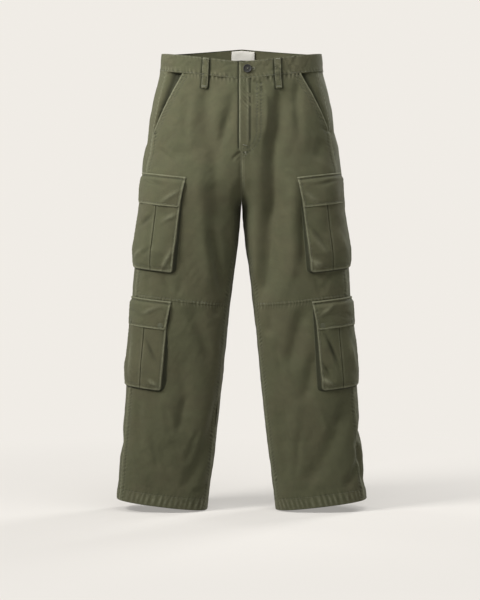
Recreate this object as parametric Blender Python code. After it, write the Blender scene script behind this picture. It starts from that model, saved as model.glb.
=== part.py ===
"""Cargo pants: a hollow, filled-out pair with a lapped fly, slanted hip pockets, and an upper and a lower
bellows pocket with an inverted pleat and a flap on each leg.

Metres, +Z up, front facing -Y. The origin is the middle of the waist, at the height of the waistband seam
over the side seams. Left and right are the wearer's, so left is +X. A place on the cloth is given by its
side, its drop (how far below the waistband seam it lies at the side of the body) and its angle round the
leg or half torso: 0 is the front, 90 the outer side, 180 the back, and -90 or 270 the inner side.
"""

from collections import namedtuple
from math import cos, pi, radians, sin

import bmesh
import bpy
from mathutils import Matrix, Vector

LEFT, RIGHT = 1, -1
SIDE_NAMES = {LEFT: "left", RIGHT: "right"}
MM = 0.001

# ---- driving sizes
CLOTH = 1.6 * MM
POCKET_CLOTH = 1.0 * MM
FLAP_CLOTH = 1.8 * MM
BAND_CLOTH = 2.8 * MM
LOOP_CLOTH = 1.8 * MM
SEAM_GAP = 0.3 * MM
HALF_GAP_DEG = 0.08  # half of SEAM_GAP, as an angle about a leg
BAND_HEIGHT = 42 * MM
BAND_PROUD = 1.0 * MM
HEM_HEIGHT = 30 * MM
HEM_DROP = 1.0147
KNEE_SEAM_DROP = 0.5285
SIDE_SEAM_DEG = 65.0
CROTCH_DROP = 0.294
INSEAM_DEG = -71.0
INSEAM_BLEND = 0.13  # the inseam reaches its own angle this far below the crotch
# Columns of a panel: the inner ones fan out below the fork, and the outer ones keep their angles.
FRONT_FAN_DEG, FRONT_FAN_COLUMNS, FRONT_OUTER_COLUMNS = 14.0, 5, 6
BACK_FAN_DEG, BACK_FAN_COLUMNS, BACK_OUTER_COLUMNS = 158.0, 6, 6

# Sections of one half of the torso, then of one leg. front_dip and back_dip lower the section at the
# inner edge of the front and of the back, so that waist and hem dip as a real garment's do. closing is the
# angle at which the section meets the other half: 0 is a half torso, -90 a whole leg.
Ring = namedtuple("Ring", "name drop front_dip back_dip outer_x inner_x front_y back_y closing")
RINGS = (
    Ring("waist_top", -BAND_HEIGHT, -0.022, 0.016, 0.1882, 0.0000, -0.094, 0.100, 0),
    Ring("waist_seam", 0.0000, -0.021, 0.013, 0.1920, 0.0000, -0.098, 0.104, 0),
    Ring("high_hip", 0.0520, -0.021, 0.006, 0.2050, 0.0000, -0.106, 0.114, 0),
    Ring("mid_hip", 0.0940, -0.021, 0.000, 0.2147, 0.0000, -0.111, 0.121, 0),
    Ring("full_hip", 0.1370, -0.021, -0.008, 0.2226, 0.0000, -0.113, 0.124, 0),
    Ring("low_hip", 0.1800, -0.022, -0.014, 0.2288, 0.0000, -0.113, 0.123, 0),
    Ring("fork_start", 0.2150, -0.024, -0.020, 0.2332, 0.0000, -0.112, 0.120, -13),
    Ring("fork_upper", 0.2475, -0.025, -0.024, 0.2366, 0.0000, -0.110, 0.115, -34),
    Ring("fork_lower", 0.2720, -0.025, -0.025, 0.2388, 0.0000, -0.108, 0.110, -55),
    Ring("fork_base", 0.2880, -0.025, -0.025, 0.2399, 0.0003, -0.106, 0.107, -75),
    Ring("crotch", CROTCH_DROP, -0.025, -0.025, 0.2405, 0.0008, -0.105, 0.106, -90),
    Ring("upper_thigh", 0.3310, -0.025, -0.025, 0.2431, 0.0038, -0.101, 0.100, -90),
    Ring("mid_thigh", 0.3920, -0.025, -0.025, 0.2483, 0.0104, -0.096, 0.093, -90),
    Ring("low_thigh", 0.4940, -0.025, -0.025, 0.2567, 0.0240, -0.089, 0.085, -90),
    Ring("knee", 0.5420, -0.025, -0.025, 0.2598, 0.0296, -0.087, 0.083, -90),
    Ring("calf", 0.6660, -0.025, -0.025, 0.2692, 0.0421, -0.080, 0.079, -90),
    Ring("shin", 0.7800, -0.025, -0.025, 0.2774, 0.0535, -0.075, 0.078, -90),
    Ring("low_shin", 0.8940, -0.025, -0.025, 0.2878, 0.0665, -0.071, 0.077, -90),
    Ring("hem", HEM_DROP, -0.026, -0.026, 0.2975, 0.0826, -0.068, 0.076, -90),
)
SQUARENESS = 0.03  # third harmonic that fills the sections out a little at their corners

# The largest folds, each a soft trough (or, with a negative depth, a ridge) along a line of three places
# seen from the front or the back: x is the distance from the middle.
Fold = namedtuple("Fold", "name side face top_drop top_x mid_drop mid_x end_drop end_x half_width depth")
FOLDS = (
    Fold("left_thigh", LEFT, "front", 0.040, 0.085, 0.170, 0.067, 0.400, 0.061, 0.012, 0.0060),
    Fold("left_thigh_ridge", LEFT, "front", 0.080, 0.103, 0.190, 0.092, 0.330, 0.088, 0.014, -0.0025),
    Fold("right_thigh", RIGHT, "front", 0.045, 0.090, 0.120, 0.097, 0.220, 0.090, 0.013, 0.0035),
    Fold("right_fork", RIGHT, "front", 0.060, 0.027, 0.110, 0.033, 0.190, 0.044, 0.014, 0.0030),
    Fold("left_seat", LEFT, "back", 0.210, 0.070, 0.320, 0.095, 0.460, 0.125, 0.034, 0.0040),
    Fold("right_seat", RIGHT, "back", 0.220, 0.080, 0.340, 0.100, 0.460, 0.135, 0.034, 0.0040),
)

# ---- fly and waistband lap: how far the cloth lifts (millimetres) against the distance from the middle
FLY_DROP = 0.164
FLY_CLEAR_DROP = 0.168
FLY_FADE_DROP = 0.190
LAP_EDGE_X = -6 * MM
LAP_UNDER_X = 30 * MM
LAP_OVER = ((-0.006, 2.0), (0.0, 1.0), (0.030, 0.0))
LAP_BELOW = ((-0.006, 0.0), (0.0, -1.0), (0.030, -2.0))
BAND_OVER = ((0.0, 1.7), (0.035, 0.0))
BAND_BELOW = ((-0.040, 0.0), (-0.0065, -1.5), (0.0, -1.5), (0.035, -3.2))
BAND_UNDER_DEG = -9.3
LAP_CLEAR_DEG = 0.2  # the band's right end starts to dip this far before the left end's edge

# ---- slanted hip pockets: the mouth runs from the waistband seam to the side seam
MOUTH_TOP_DEG = 42.6
MOUTH_END_DROP = 0.146
FACING_END_DROP = 0.150
GAPE = {LEFT: 2.9 * MM, RIGHT: 4.6 * MM}
FACING_LEAST_DEG = 2.0  # the facing runs on under the front, this wide, below the mouth's end

# ---- cargo pockets. The face's front edge and pleat are straight from their x at the top to their x at the
# foot, and its back edge from y to y. The gusset's foot stands splay beyond the edge of the face, and the
# face stands depth above the leg: both in millimetres, against the share of the pocket's height.
Pocket = namedtuple(
    "Pocket", "name top_drop flap_end_drop end_drop front_x pleat_x back_y half_width splay depth fastened"
)
POCKETS = (
    Pocket(
        "upper", 0.2370, 0.3085, 0.4610, (0.1347, 0.1626), (0.1900, 0.2115), (-0.0380, -0.0323), 0.0540,
        ((0.0, 3.0), (0.32, 3.7), (1.0, 9.0)), ((0.0, 4.6), (0.32, 5.8), (0.80, 16.0), (0.93, 13.0), (1.0, 8.5)),
        False,
    ),
    Pocket(
        "lower", 0.5295, 0.5970, 0.7400, (0.1703, 0.1900), (0.2216, 0.2369), (-0.0245, -0.0206), 0.0520,
        ((0.0, 4.0), (0.32, 5.5), (1.0, 11.0)), ((0.0, 4.6), (0.32, 6.0), (0.80, 12.0), (0.93, 10.5), (1.0, 7.5)),
        True,
    ),
)
MOUTH_BELOW_FLAP_TOP = 16 * MM
CORNER_RADIUS = 9 * MM
FACE_CORNER = 7 * MM  # the face's lower corners are cut off by this much
STATIONS = (-1.0, -0.62, -0.3, 0.0, 0.3, 0.62, 1.0)  # shared columns, so that faceted layers run parallel
FOOT_GAP = 1.05 * MM  # from the leg to the facets of what is sewn on it
GUSSET_CLOTH = 1.6 * MM
FOOT_SPLAY_BELOW = 0.4  # the gusset slopes less along the pocket's foot than at its sides
PLEAT_HALF_FOLD = 9 * MM
PLEAT_HALF_GAP = 0.75 * MM
LAYER_PITCH = 1.3 * MM  # two layers of pocket cloth and the gap between them
FACE_CROWN = 0.6 * MM  # each half of the face stands this much higher between its edge and the pleat
FLAP_TOP_RIDGE = 4.5 * MM
FLAP_CLEAR = 0.5 * MM
FLAP_CORNER = 6 * MM
FLAP_SIDE_IN = 1.0 * MM  # from the face's edge to the flap's lower corner
FLAP_TOP_BEYOND = 5.0 * MM

# ---- belt loops: the path of the loop's inner face, as drop and distance from the leg or band
LOOP_WIDTH = 15 * MM
LOOP_DEGREES = ((RIGHT, 23.4), (LEFT, 23.4), (RIGHT, 112.0), (LEFT, 112.0), (LEFT, 180.0))
LOOP_NAMES = ("front_right", "front_left", "side_right", "side_left", "back")
LOOP_PATH = (
    (-0.0418, 1.4), (-0.0395, 2.6), (-0.0330, 4.3), (-0.0200, 4.7), (-0.0050, 4.5),
    (0.0080, 3.4), (0.0165, 1.8), (0.0215, 0.9), (0.0270, 0.8), (0.0305, 0.8),
)

# ---- hardware
BUTTON_X = 13.8 * MM
BUTTON_Z = 4.0 * MM
BUTTON_DROP = -0.0240  # the drop at which the band's front lies at BUTTON_Z
BUTTON_RADIUS = 10.0 * MM
SHANK_RADIUS = 1.2 * MM
BUTTONHOLE = (11.6 * MM, 28.5 * MM)  # its ends along X
BUTTONHOLE_HEIGHT = 3.2 * MM
BUTTONHOLE_DEPTH = 1.35 * MM  # behind the cloth's face, which is where the band's upper layer ends
SNAP_RADIUS = 6.5 * MM
SNAP_IN = 12.5 * MM  # from the flap's side edge
SNAP_UP = 9.0 * MM  # from the flap's lower edge
LABEL_WIDTH, LABEL_HEIGHT, LABEL_X = 56 * MM, 22 * MM, 3.6 * MM
LABEL_DOWN = 3 * MM
LABEL_CLOTH = 1.0 * MM


# ==== the form of the garment


def table_slopes(column):
    """Slopes at each ring that keep the curve through a column free of overshoot."""
    drops = [ring.drop for ring in RINGS]
    values = [getattr(ring, column) for ring in RINGS]
    steps = [b - a for a, b in zip(drops, drops[1:])]
    chords = [(b - a) / step for a, b, step in zip(values, values[1:], steps)]
    slopes = [chords[0]]
    for before, after, step_before, step_after in zip(chords, chords[1:], steps, steps[1:]):
        if before * after <= 0:
            slopes.append(0.0)
            continue
        weight_before = 2 * step_after + step_before
        weight_after = step_after + 2 * step_before
        slopes.append((weight_before + weight_after) / (weight_before / before + weight_after / after))
    slopes.append(chords[-1])
    return slopes


SLOPES = {column: table_slopes(column) for column in Ring._fields[2:]}


def ring_value(column, drop):
    """A column of RINGS at any drop, on a smooth curve through the rows."""
    drop = min(max(drop, RINGS[0].drop), RINGS[-1].drop)
    i = max(k for k in range(len(RINGS) - 1) if RINGS[k].drop <= drop)
    step = RINGS[i + 1].drop - RINGS[i].drop
    t = (drop - RINGS[i].drop) / step
    start, end = getattr(RINGS[i], column), getattr(RINGS[i + 1], column)
    slope_in, slope_out = SLOPES[column][i], SLOPES[column][i + 1]
    value = (1 + 2 * t) * (1 - t) ** 2 * start + t * t * (3 - 2 * t) * end
    return value + step * (t * (1 - t) ** 2 * slope_in + t * t * (t - 1) * slope_out)


def along(rows, at):
    """Straight-line reading of a short table of (place, value) rows."""
    if at <= rows[0][0]:
        return rows[0][1]
    for (x0, y0), (x1, y1) in zip(rows, rows[1:]):
        if at <= x1:
            return y0 + (y1 - y0) * (at - x0) / (x1 - x0)
    return rows[-1][1]


def ease(t):
    t = min(max(t, 0.0), 1.0)
    return t * t * (3 - 2 * t)


def round_sin(angle):
    return (sin(angle) + SQUARENESS * sin(3 * angle)) / (1 - SQUARENESS)


def round_cos(angle):
    return (cos(angle) - SQUARENESS * cos(3 * angle)) / (1 - SQUARENESS)


def form_point(drop, deg):
    """The smooth form of the left half, before folds."""
    angle = radians(deg)
    closing = radians(ring_value("closing", drop))
    outer, inner = ring_value("outer_x", drop), ring_value("inner_x", drop)
    half_width = (outer - inner) / (1 - round_sin(closing))
    front, back = ring_value("front_y", drop), ring_value("back_y", drop)
    x = inner + half_width * (round_sin(angle) - round_sin(closing))
    y = (back + front) / 2 - (back - front) / 2 * round_cos(angle)
    share = min(max((outer - abs(x)) / (outer - inner), 0.0), 1.0)
    dip = ring_value("front_dip" if cos(angle) > 0 else "back_dip", drop)
    return Vector((x, y, share * dip - drop))


def form_normal(drop, deg):
    """Outward direction of the left half's form."""
    above, below = max(drop - 0.002, RINGS[0].drop), min(drop + 0.002, HEM_DROP)
    down = form_point(below, deg) - form_point(above, deg)
    around = form_point(drop, deg + 0.5) - form_point(drop, deg - 0.5)
    return around.cross(down).normalized() * -1


def fold_depth(side, drop, deg, x):
    """How far the folds pull the cloth in at one place."""
    total = 0.0
    face = "front" if cos(radians(deg)) > 0 else "back"
    for fold in FOLDS:
        if fold.side != side or fold.face != face or not fold.top_drop < drop < fold.end_drop:
            continue
        line = ((fold.top_drop, fold.top_x), (fold.mid_drop, fold.mid_x), (fold.end_drop, fold.end_x))
        aside = (x - along(line, drop)) / fold.half_width
        if abs(aside) >= 2:
            continue
        rows = ((fold.top_drop, 0.0), (fold.mid_drop, 1.0), (fold.end_drop, 0.0))
        total += fold.depth * ease(along(rows, drop)) * (0.5 + 0.5 * cos(pi * aside / 2))
    return total


def cloth_point(side, drop, deg, out=0.0, level=False):
    """A point of the cloth's outer face, moved out along the form's normal, or level with the ground."""
    place = form_point(drop, deg)
    normal = form_normal(drop, deg)
    if level:
        normal.z = 0.0
    place += normal.normalized() * (out - fold_depth(side, drop, deg, place.x))
    place.x *= side
    return place


def cloth_frame(side, drop, deg, out):
    """A frame on the cloth: Z points outward and Y up along the cloth."""
    place = cloth_point(side, drop, deg, out)
    outward = form_normal(drop, deg)
    outward.x *= side
    up = (cloth_point(side, drop - 0.002, deg, out) - cloth_point(side, drop + 0.002, deg, out)).normalized()
    across = up.cross(outward).normalized()
    up = outward.cross(across)
    frame = Matrix((across, up, outward)).transposed().to_4x4()
    frame.translation = place
    return frame


def deg_where(drop, axis, place):
    """The angle, from the inner front to the outer side, at which the form's x or y has a given value."""
    low, high = -40.0, 90.0
    for _ in range(30):
        middle = (low + high) / 2
        if form_point(drop, middle)[axis] < place:
            low = middle
        else:
            high = middle
    return (low + high) / 2


def degrees_across(drop, deg, distance):
    """The angle that a short distance round the cloth takes up."""
    step = (form_point(drop, deg + 0.5) - form_point(drop, deg - 0.5)).length
    return distance / step


# ==== materials and mesh building


def cloth_material(name, colour, roughness, metallic=0.0):
    material = bpy.data.materials.new(name)
    material.use_nodes = True
    shader = material.node_tree.nodes["Principled BSDF"]
    shader.inputs["Base Color"].default_value = (*colour, 1.0)
    shader.inputs["Roughness"].default_value = roughness
    shader.inputs["Metallic"].default_value = metallic
    return material


def make_object(name, points, faces, material, mirrored=False):
    """A mesh object from points and quads. A mirrored side's quads are turned round."""
    mesh = bpy.data.meshes.new(name)
    if mirrored:
        faces = [tuple(reversed(face)) for face in faces]
    mesh.from_pydata([tuple(point) for point in points], [], faces)
    mesh.materials.append(material)
    mesh.shade_smooth()
    mesh.set_sharp_from_angle(angle=radians(35))
    piece = bpy.data.objects.new(name, mesh)
    bpy.context.scene.collection.objects.link(piece)
    return piece


def wall(name, side, outer, inner, material):
    """A closed wall between two grids of points with the same rows and columns."""
    rows, columns = len(outer), len(outer[0])
    points = [point for grid in (outer, inner) for row in grid for point in row]

    def number(layer, row, column):
        return (layer * rows + row) * columns + column

    faces = []
    for row in range(rows - 1):
        for column in range(columns - 1):
            corners = ((row, column), (row, column + 1), (row + 1, column + 1), (row + 1, column))
            faces.append(tuple(number(0, *corner) for corner in reversed(corners)))
            faces.append(tuple(number(1, *corner) for corner in corners))
    rim = [(0, column) for column in range(columns)]
    rim += [(row, columns - 1) for row in range(1, rows)]
    rim += [(rows - 1, column) for column in range(columns - 2, -1, -1)]
    rim += [(row, 0) for row in range(rows - 2, 0, -1)]
    for start, end in zip(rim, rim[1:] + rim[:1]):
        faces.append((number(0, *start), number(0, *end), number(1, *end), number(1, *start)))
    return make_object(name, points, faces, material, mirrored=side == RIGHT)


def spread(start, end, count):
    return [start + (end - start) * i / (count - 1) for i in range(count)]


# ==== front and back panels


def inseam_deg(drop):
    """Where front and back meet on the inner side: the middle of the torso, then the inseam."""
    if drop <= CROTCH_DROP:
        return ring_value("closing", drop)
    return -90 + (INSEAM_DEG + 90) * ease((drop - CROTCH_DROP) / INSEAM_BLEND)


def mouth_deg(drop):
    """The front panel's outer edge: the slanted pocket mouth, then the side seam."""
    t = min(drop / MOUTH_END_DROP, 1.0)
    return MOUTH_TOP_DEG + (SIDE_SEAM_DEG - MOUTH_TOP_DEG) * t


def fly_lift(side, drop, deg):
    """How far the lapped edge stands over, or the other edge dips under, at the fly."""
    if drop >= FLY_FADE_DROP or deg > 15:
        return 0.0
    x = side * form_point(drop, deg).x
    fade = min((FLY_FADE_DROP - drop) / (FLY_FADE_DROP - FLY_CLEAR_DROP), 1.0)
    return fade * MM * along(LAP_OVER if side == LEFT else LAP_BELOW, x)


def front_angles(side, drop):
    """The angles of a front panel's columns at one drop."""
    outer = mouth_deg(drop) - HALF_GAP_DEG
    edge = inseam_deg(drop) + degrees_across(drop, inseam_deg(drop), SEAM_GAP / 2)
    outer_angles = spread(FRONT_FAN_DEG, outer, FRONT_OUTER_COLUMNS)
    if drop > FLY_CLEAR_DROP:
        return spread(edge, FRONT_FAN_DEG, FRONT_FAN_COLUMNS)[:-1] + outer_angles
    if side == LEFT:
        lapped = [LAP_EDGE_X, 0.0, LAP_UNDER_X]
        clear = [SEAM_GAP / 2, 1.5 * MM, LAP_UNDER_X]
    else:
        lapped = [-LAP_UNDER_X, 0.0, -LAP_EDGE_X]
        clear = [SEAM_GAP / 2, 1.5 * MM, -LAP_EDGE_X]
    first = [deg_where(drop, 0, x) for x in (clear if drop > FLY_DROP else lapped)]
    return first + spread(first[-1], FRONT_FAN_DEG, FRONT_FAN_COLUMNS - 2)[1:-1] + outer_angles


UPPER_DROPS = (
    1.5 * SEAM_GAP, 0.035, 0.070, 0.108, MOUTH_END_DROP, FLY_DROP, FLY_CLEAR_DROP, FLY_FADE_DROP, 0.215, 0.235,
    0.254, 0.272, 0.286, CROTCH_DROP, 0.315, 0.350, 0.400, 0.460,
)
FRONT_ONLY_DROPS = (MOUTH_END_DROP, FLY_DROP, FLY_CLEAR_DROP)
LOWER_DROPS = (0.580, 0.640, 0.705, 0.770, 0.840, 0.915)
HEM_FOLD_DROP = HEM_DROP - HEM_HEIGHT


def hem_rows():
    """Drop and wall thickness of the rows at the hem, which is folded up inside to twice the cloth."""
    return [(HEM_FOLD_DROP - 0.0005, CLOTH), (HEM_FOLD_DROP, 2 * CLOTH), (HEM_DROP, 2 * CLOTH)]


def panel(name, side, rows, angles_at, lift_at, material):
    """A cut panel: rows are (drop, thickness), and the lift moves both faces of the wall."""
    outer, inner = [], []
    for drop, thickness in rows:
        level = drop == UPPER_DROPS[0]
        places = [(deg, lift_at(drop, deg)) for deg in angles_at(drop)]
        outer.append([cloth_point(side, drop, deg, lift, level) for deg, lift in places])
        inner.append([cloth_point(side, drop, deg, lift - thickness, level) for deg, lift in places])
    return wall(name, side, outer, inner, material)


def make_fronts(side, material):
    upper = [(drop, CLOTH) for drop in (*UPPER_DROPS, KNEE_SEAM_DROP - SEAM_GAP / 2)]
    lower = [(drop, CLOTH) for drop in (KNEE_SEAM_DROP + SEAM_GAP / 2, *LOWER_DROPS)] + hem_rows()

    def angles_at(drop):
        return front_angles(side, drop)

    def lift_at(drop, deg):
        return fly_lift(side, drop, deg)

    panel(f"front_upper_{SIDE_NAMES[side]}", side, upper, angles_at, lift_at, material)
    panel(f"front_lower_{SIDE_NAMES[side]}", side, lower, angles_at, lift_at, material)


def make_back(side, material):
    drops = [drop for drop in (*UPPER_DROPS, KNEE_SEAM_DROP, *LOWER_DROPS) if drop not in FRONT_ONLY_DROPS]
    rows = [(drop, CLOTH) for drop in drops] + hem_rows()

    def angles_at(drop):
        end = 180 - inseam_deg(drop) if drop <= CROTCH_DROP else 360 + inseam_deg(drop)
        end -= degrees_across(drop, end, SEAM_GAP / 2)
        outer_angles = spread(SIDE_SEAM_DEG + HALF_GAP_DEG, BACK_FAN_DEG, BACK_OUTER_COLUMNS)
        return outer_angles[:-1] + spread(BACK_FAN_DEG, end, BACK_FAN_COLUMNS)

    panel(f"back_{SIDE_NAMES[side]}", side, rows, angles_at, lambda drop, deg: 0.0, material)


def make_hip_facing(side, material):
    """The cloth behind a slanted pocket mouth, flush at the side seam and sunk under the mouth's edge."""
    gape = GAPE[side]
    sunk = ((0.0, 1.0), (0.35, 0.85), (0.72, 0.12), (1.0, 0.0))
    outer, inner = [], []
    for drop in (0.0006, 0.035, 0.070, 0.108, MOUTH_END_DROP, FACING_END_DROP):
        seam = SIDE_SEAM_DEG - HALF_GAP_DEG
        mouth = min(mouth_deg(drop), seam - FACING_LEAST_DEG)
        open_share = ease((seam - mouth) / 8)
        row = []
        for place in (-12.0, -2.0, 0.0, 0.35, 0.72, 1.0):
            deg = mouth + (place if place < 0 else place * (seam - mouth))
            depth = gape * along(sunk, max(place, 0.0)) + CLOTH
            row.append((deg, -(CLOTH + 0.7 * MM) * (1 - open_share) - depth * open_share * (place < 1)))
        outer.append([cloth_point(side, drop, deg, out) for deg, out in row])
        inner.append([cloth_point(side, drop, deg, out - POCKET_CLOTH) for deg, out in row])
    return wall(f"hip_facing_{SIDE_NAMES[side]}", side, outer, inner, material)


# ==== waistband, belt loops, button and label


def band_lift(side, deg):
    """How far the band's left end stands over its right end at the front."""
    if deg > 90:
        return 0.0
    x = side * form_point(0.0, deg).x
    return MM * along(BAND_OVER if side == LEFT else BAND_BELOW, x)


def make_waistband(material):
    """One strip round the waist: its left end laps over the front and its right end runs on beneath."""
    lap = deg_where(0.0, 0, LAP_EDGE_X)
    left = [lap, 0.0, 4.0, 7.0, 10.5, 16.0, 23.4, 32.0, 42.0, 54.0, 68.0, 84.0, 100.0, 116.0, 132.0, 149.0, 170.3]
    right = [180.0, *reversed(left[5:]), 12.0, -lap + LAP_CLEAR_DEG, 0.0, -4.0, BAND_UNDER_DEG]
    stations = [(LEFT, deg) for deg in left] + [(RIGHT, deg) for deg in right]
    outer, inner = [], []
    for drop in (-BAND_HEIGHT, -BAND_HEIGHT / 2, -SEAM_GAP / 2):
        places = [(side, deg, BAND_PROUD + band_lift(side, deg)) for side, deg in stations]
        outer.append([cloth_point(side, drop, deg, out, True) for side, deg, out in places])
        inner.append([cloth_point(side, drop, deg, out - BAND_CLOTH, True) for side, deg, out in places])
    band = wall("waistband", LEFT, outer, inner, material)
    cut_buttonhole(band)
    return band


def cut_buttonhole(band):
    """A slot with round ends through the band's upper layer only."""
    start, end = BUTTONHOLE
    radius = BUTTONHOLE_HEIGHT / 2
    outline = []
    for middle, first in ((end - radius, -90), (start + radius, 90)):
        outline += [
            (middle + radius * cos(radians(first + 45 * i)), BUTTON_Z + radius * sin(radians(first + 45 * i)))
            for i in range(5)
        ]
    surface_y = cloth_point(LEFT, BUTTON_DROP, deg_where(BUTTON_DROP, 0, BUTTON_X)).y
    near, far = surface_y - 6 * MM, surface_y + BUTTONHOLE_DEPTH
    mesh = bpy.data.meshes.new("buttonhole_cutter")
    work = bmesh.new()
    front = work.faces.new([work.verts.new((x, near, z)) for x, z in outline])
    grown = bmesh.ops.extrude_face_region(work, geom=[front])["geom"]
    moved = [vert for vert in grown if isinstance(vert, bmesh.types.BMVert)]
    bmesh.ops.translate(work, verts=moved, vec=(0.0, far - near, 0.0))
    bmesh.ops.recalc_face_normals(work, faces=work.faces)
    work.to_mesh(mesh)
    work.free()
    cutter = bpy.data.objects.new("buttonhole_cutter", mesh)
    cutter.hide_render = True
    cutter.display_type = "WIRE"
    bpy.context.scene.collection.objects.link(cutter)
    slot = band.modifiers.new("Buttonhole", "BOOLEAN")
    slot.operation = "DIFFERENCE"
    slot.object = cutter


def turned_piece(name, profile, frame, material, steps):
    """A round piece turned from (radius, height) rows about the frame's Z axis."""
    work = bmesh.new()
    rings = []
    for radius, height in profile:
        if radius == 0:
            rings.append([work.verts.new((0.0, 0.0, height))])
            continue
        turns = [2 * pi * i / steps for i in range(steps)]
        rings.append([work.verts.new((radius * cos(a), radius * sin(a), height)) for a in turns])
    for low, high in zip(rings, rings[1:]):
        for i in range(steps):
            corners = [low[i % len(low)], low[(i + 1) % len(low)], high[(i + 1) % len(high)], high[i % len(high)]]
            unique = list(dict.fromkeys(corners))
            if len(unique) > 2:
                work.faces.new(unique)
    bmesh.ops.recalc_face_normals(work, faces=work.faces)
    mesh = bpy.data.meshes.new(name)
    work.to_mesh(mesh)
    work.free()
    mesh.materials.append(material)
    mesh.shade_smooth()
    mesh.set_sharp_from_angle(angle=radians(40))
    piece = bpy.data.objects.new(name, mesh)
    piece.matrix_world = frame
    bpy.context.scene.collection.objects.link(piece)
    return piece


def make_button(material):
    """A round button on a shank that passes through the buttonhole to the band's lower layer."""
    deg = deg_where(BUTTON_DROP, 0, BUTTON_X)
    lift = BAND_PROUD + band_lift(LEFT, deg)
    frame = cloth_frame(LEFT, BUTTON_DROP, deg, lift)
    frame.translation.z = BUTTON_Z
    frame.translation.x = BUTTON_X
    back = 0.5 * MM
    foot = -(BAND_CLOTH + 0.1 * MM)
    profile = (
        (0.0, foot), (SHANK_RADIUS, foot), (SHANK_RADIUS, back), (8.6 * MM, back), (BUTTON_RADIUS, 1.5 * MM),
        (BUTTON_RADIUS, 2.7 * MM), (9.3 * MM, 3.6 * MM), (8.0 * MM, 3.6 * MM), (7.0 * MM, 2.9 * MM), (0.0, 2.7 * MM),
    )
    return turned_piece("waist_button", profile, frame, material, steps=20)


def make_belt_loop(name, side, deg, material):
    """A belt loop: tacked at the band's top edge, and again on the cloth below the band's seam."""
    outer, inner = [], []
    for drop, out_mm in LOOP_PATH:
        reach = drop > LOOP_PATH[-1][0] - 0.002
        half = LOOP_WIDTH / 2 * (0.72 if reach else 1.0)
        spans = [degrees_across(drop, deg, half * place) for place in (-1.0, 0.0, 1.0)]
        out = out_mm * MM
        outer.append([cloth_point(side, drop, deg + span, out + LOOP_CLOTH) for span in spans])
        inner.append([cloth_point(side, drop, deg + span, out) for span in spans])
    return wall(f"belt_loop_{name}", side, outer, inner, material)


def make_label(material):
    """A bare woven label on the inside of the waistband at the middle of the back."""
    surface = BAND_PROUD - BAND_CLOTH - FOOT_GAP
    outer, inner = [], []
    for down in (0.0, 0.5, 1.0):
        drop = -BAND_HEIGHT + LABEL_DOWN + LABEL_HEIGHT * down
        places = [LABEL_X + LABEL_WIDTH * (place - 0.5) for place in (0.0, 0.25, 0.5, 0.75, 1.0)]
        angles = [180 - degrees_across(drop, 180, x) for x in places]
        outer.append([cloth_point(LEFT, drop, deg, surface) for deg in reversed(angles)])
        inner.append([cloth_point(LEFT, drop, deg, surface - LABEL_CLOTH) for deg in reversed(angles)])
    return wall("waist_label", LEFT, outer, inner, material)


# ==== cargo pockets


def pocket_share(pocket, drop):
    return (drop - pocket.top_drop) / (pocket.end_drop - pocket.top_drop)


def pocket_deg(pocket, drop, across):
    """The angle of a place across metres from the pleat, positive towards the back of the pocket."""
    lines = (pocket.front_x, pocket.pleat_x, pocket.back_y)
    front_x, pleat_x, back_y = (a + (b - a) * pocket_share(pocket, drop) for a, b in lines)
    pleat = deg_where(drop, 0, pleat_x)
    edge = deg_where(drop, 0, front_x) if across < 0 else deg_where(drop, 1, back_y)
    return pleat + abs(across) / pocket.half_width * (edge - pleat)


def pocket_point(pocket, side, drop, across, out):
    return cloth_point(side, drop, pocket_deg(pocket, drop, across), out)


def pocket_depth(pocket, drop):
    """Height of the face's inner side above the leg."""
    return MM * along(pocket.depth, pocket_share(pocket, drop))


def pleat_section(pocket):
    """The face's mid-line from front to back as (across, height), with an inverted pleat of two folds."""
    edge, fold, lip, deep = pocket.half_width, PLEAT_HALF_FOLD, PLEAT_HALF_GAP, LAYER_PITCH
    front = [(-edge, 0.0), (edge * STATIONS[1], FACE_CROWN), (edge * STATIONS[2], FACE_CROWN), (-lip, 0.0)]
    front += [(-lip, -deep), (-fold, -deep), (-fold, -2 * deep)]
    return front + [(-across, height) for across, height in reversed(front)]


def ribbon(section, thickness):
    """Points at half the thickness to each side of a line of (across, height), mitred at its corners."""
    upper, lower = [], []
    for i, (x, y) in enumerate(section):
        steps = []
        for a, b in ((i - 1, i), (i, i + 1)):
            if a < 0 or b >= len(section):
                continue
            step = Vector((section[b][0] - section[a][0], section[b][1] - section[a][1])).normalized()
            steps.append(Vector((-step.y, step.x)))
        mitre = sum(steps, Vector((0.0, 0.0))).normalized()
        reach = thickness / 2 / mitre.dot(steps[0])
        upper.append((x + mitre.x * reach, y + mitre.y * reach))
        lower.append((x - mitre.x * reach, y - mitre.y * reach))
    return upper, lower


def face_drops(pocket):
    start = pocket.top_drop + MOUTH_BELOW_FLAP_TOP
    drops = [start + (pocket.end_drop - start) * share for share in (0.0, 0.266, 0.5, 0.78, 0.91, 1.0)]
    return [*drops[:-1], pocket.end_drop - FACE_CORNER, pocket.end_drop]


def make_pocket_face(pocket, side, material):
    upper, lower = ribbon(pleat_section(pocket), POCKET_CLOTH)
    outer, inner = [], []
    drops = face_drops(pocket)
    for drop in drops:
        height = pocket_depth(pocket, drop) + POCKET_CLOTH / 2
        corner = 1 - FACE_CORNER / pocket.half_width if drop == drops[-1] else 1.0
        for grid, line in ((outer, upper), (inner, lower)):
            narrowed = [(line[0][0] * corner, line[0][1]), *line[1:-1], (line[-1][0] * corner, line[-1][1])]
            grid.append([pocket_point(pocket, side, drop, across, height + rise) for across, rise in narrowed])
    return wall(f"pocket_face_{pocket.name}_{SIDE_NAMES[side]}", side, outer, inner, material)


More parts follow.
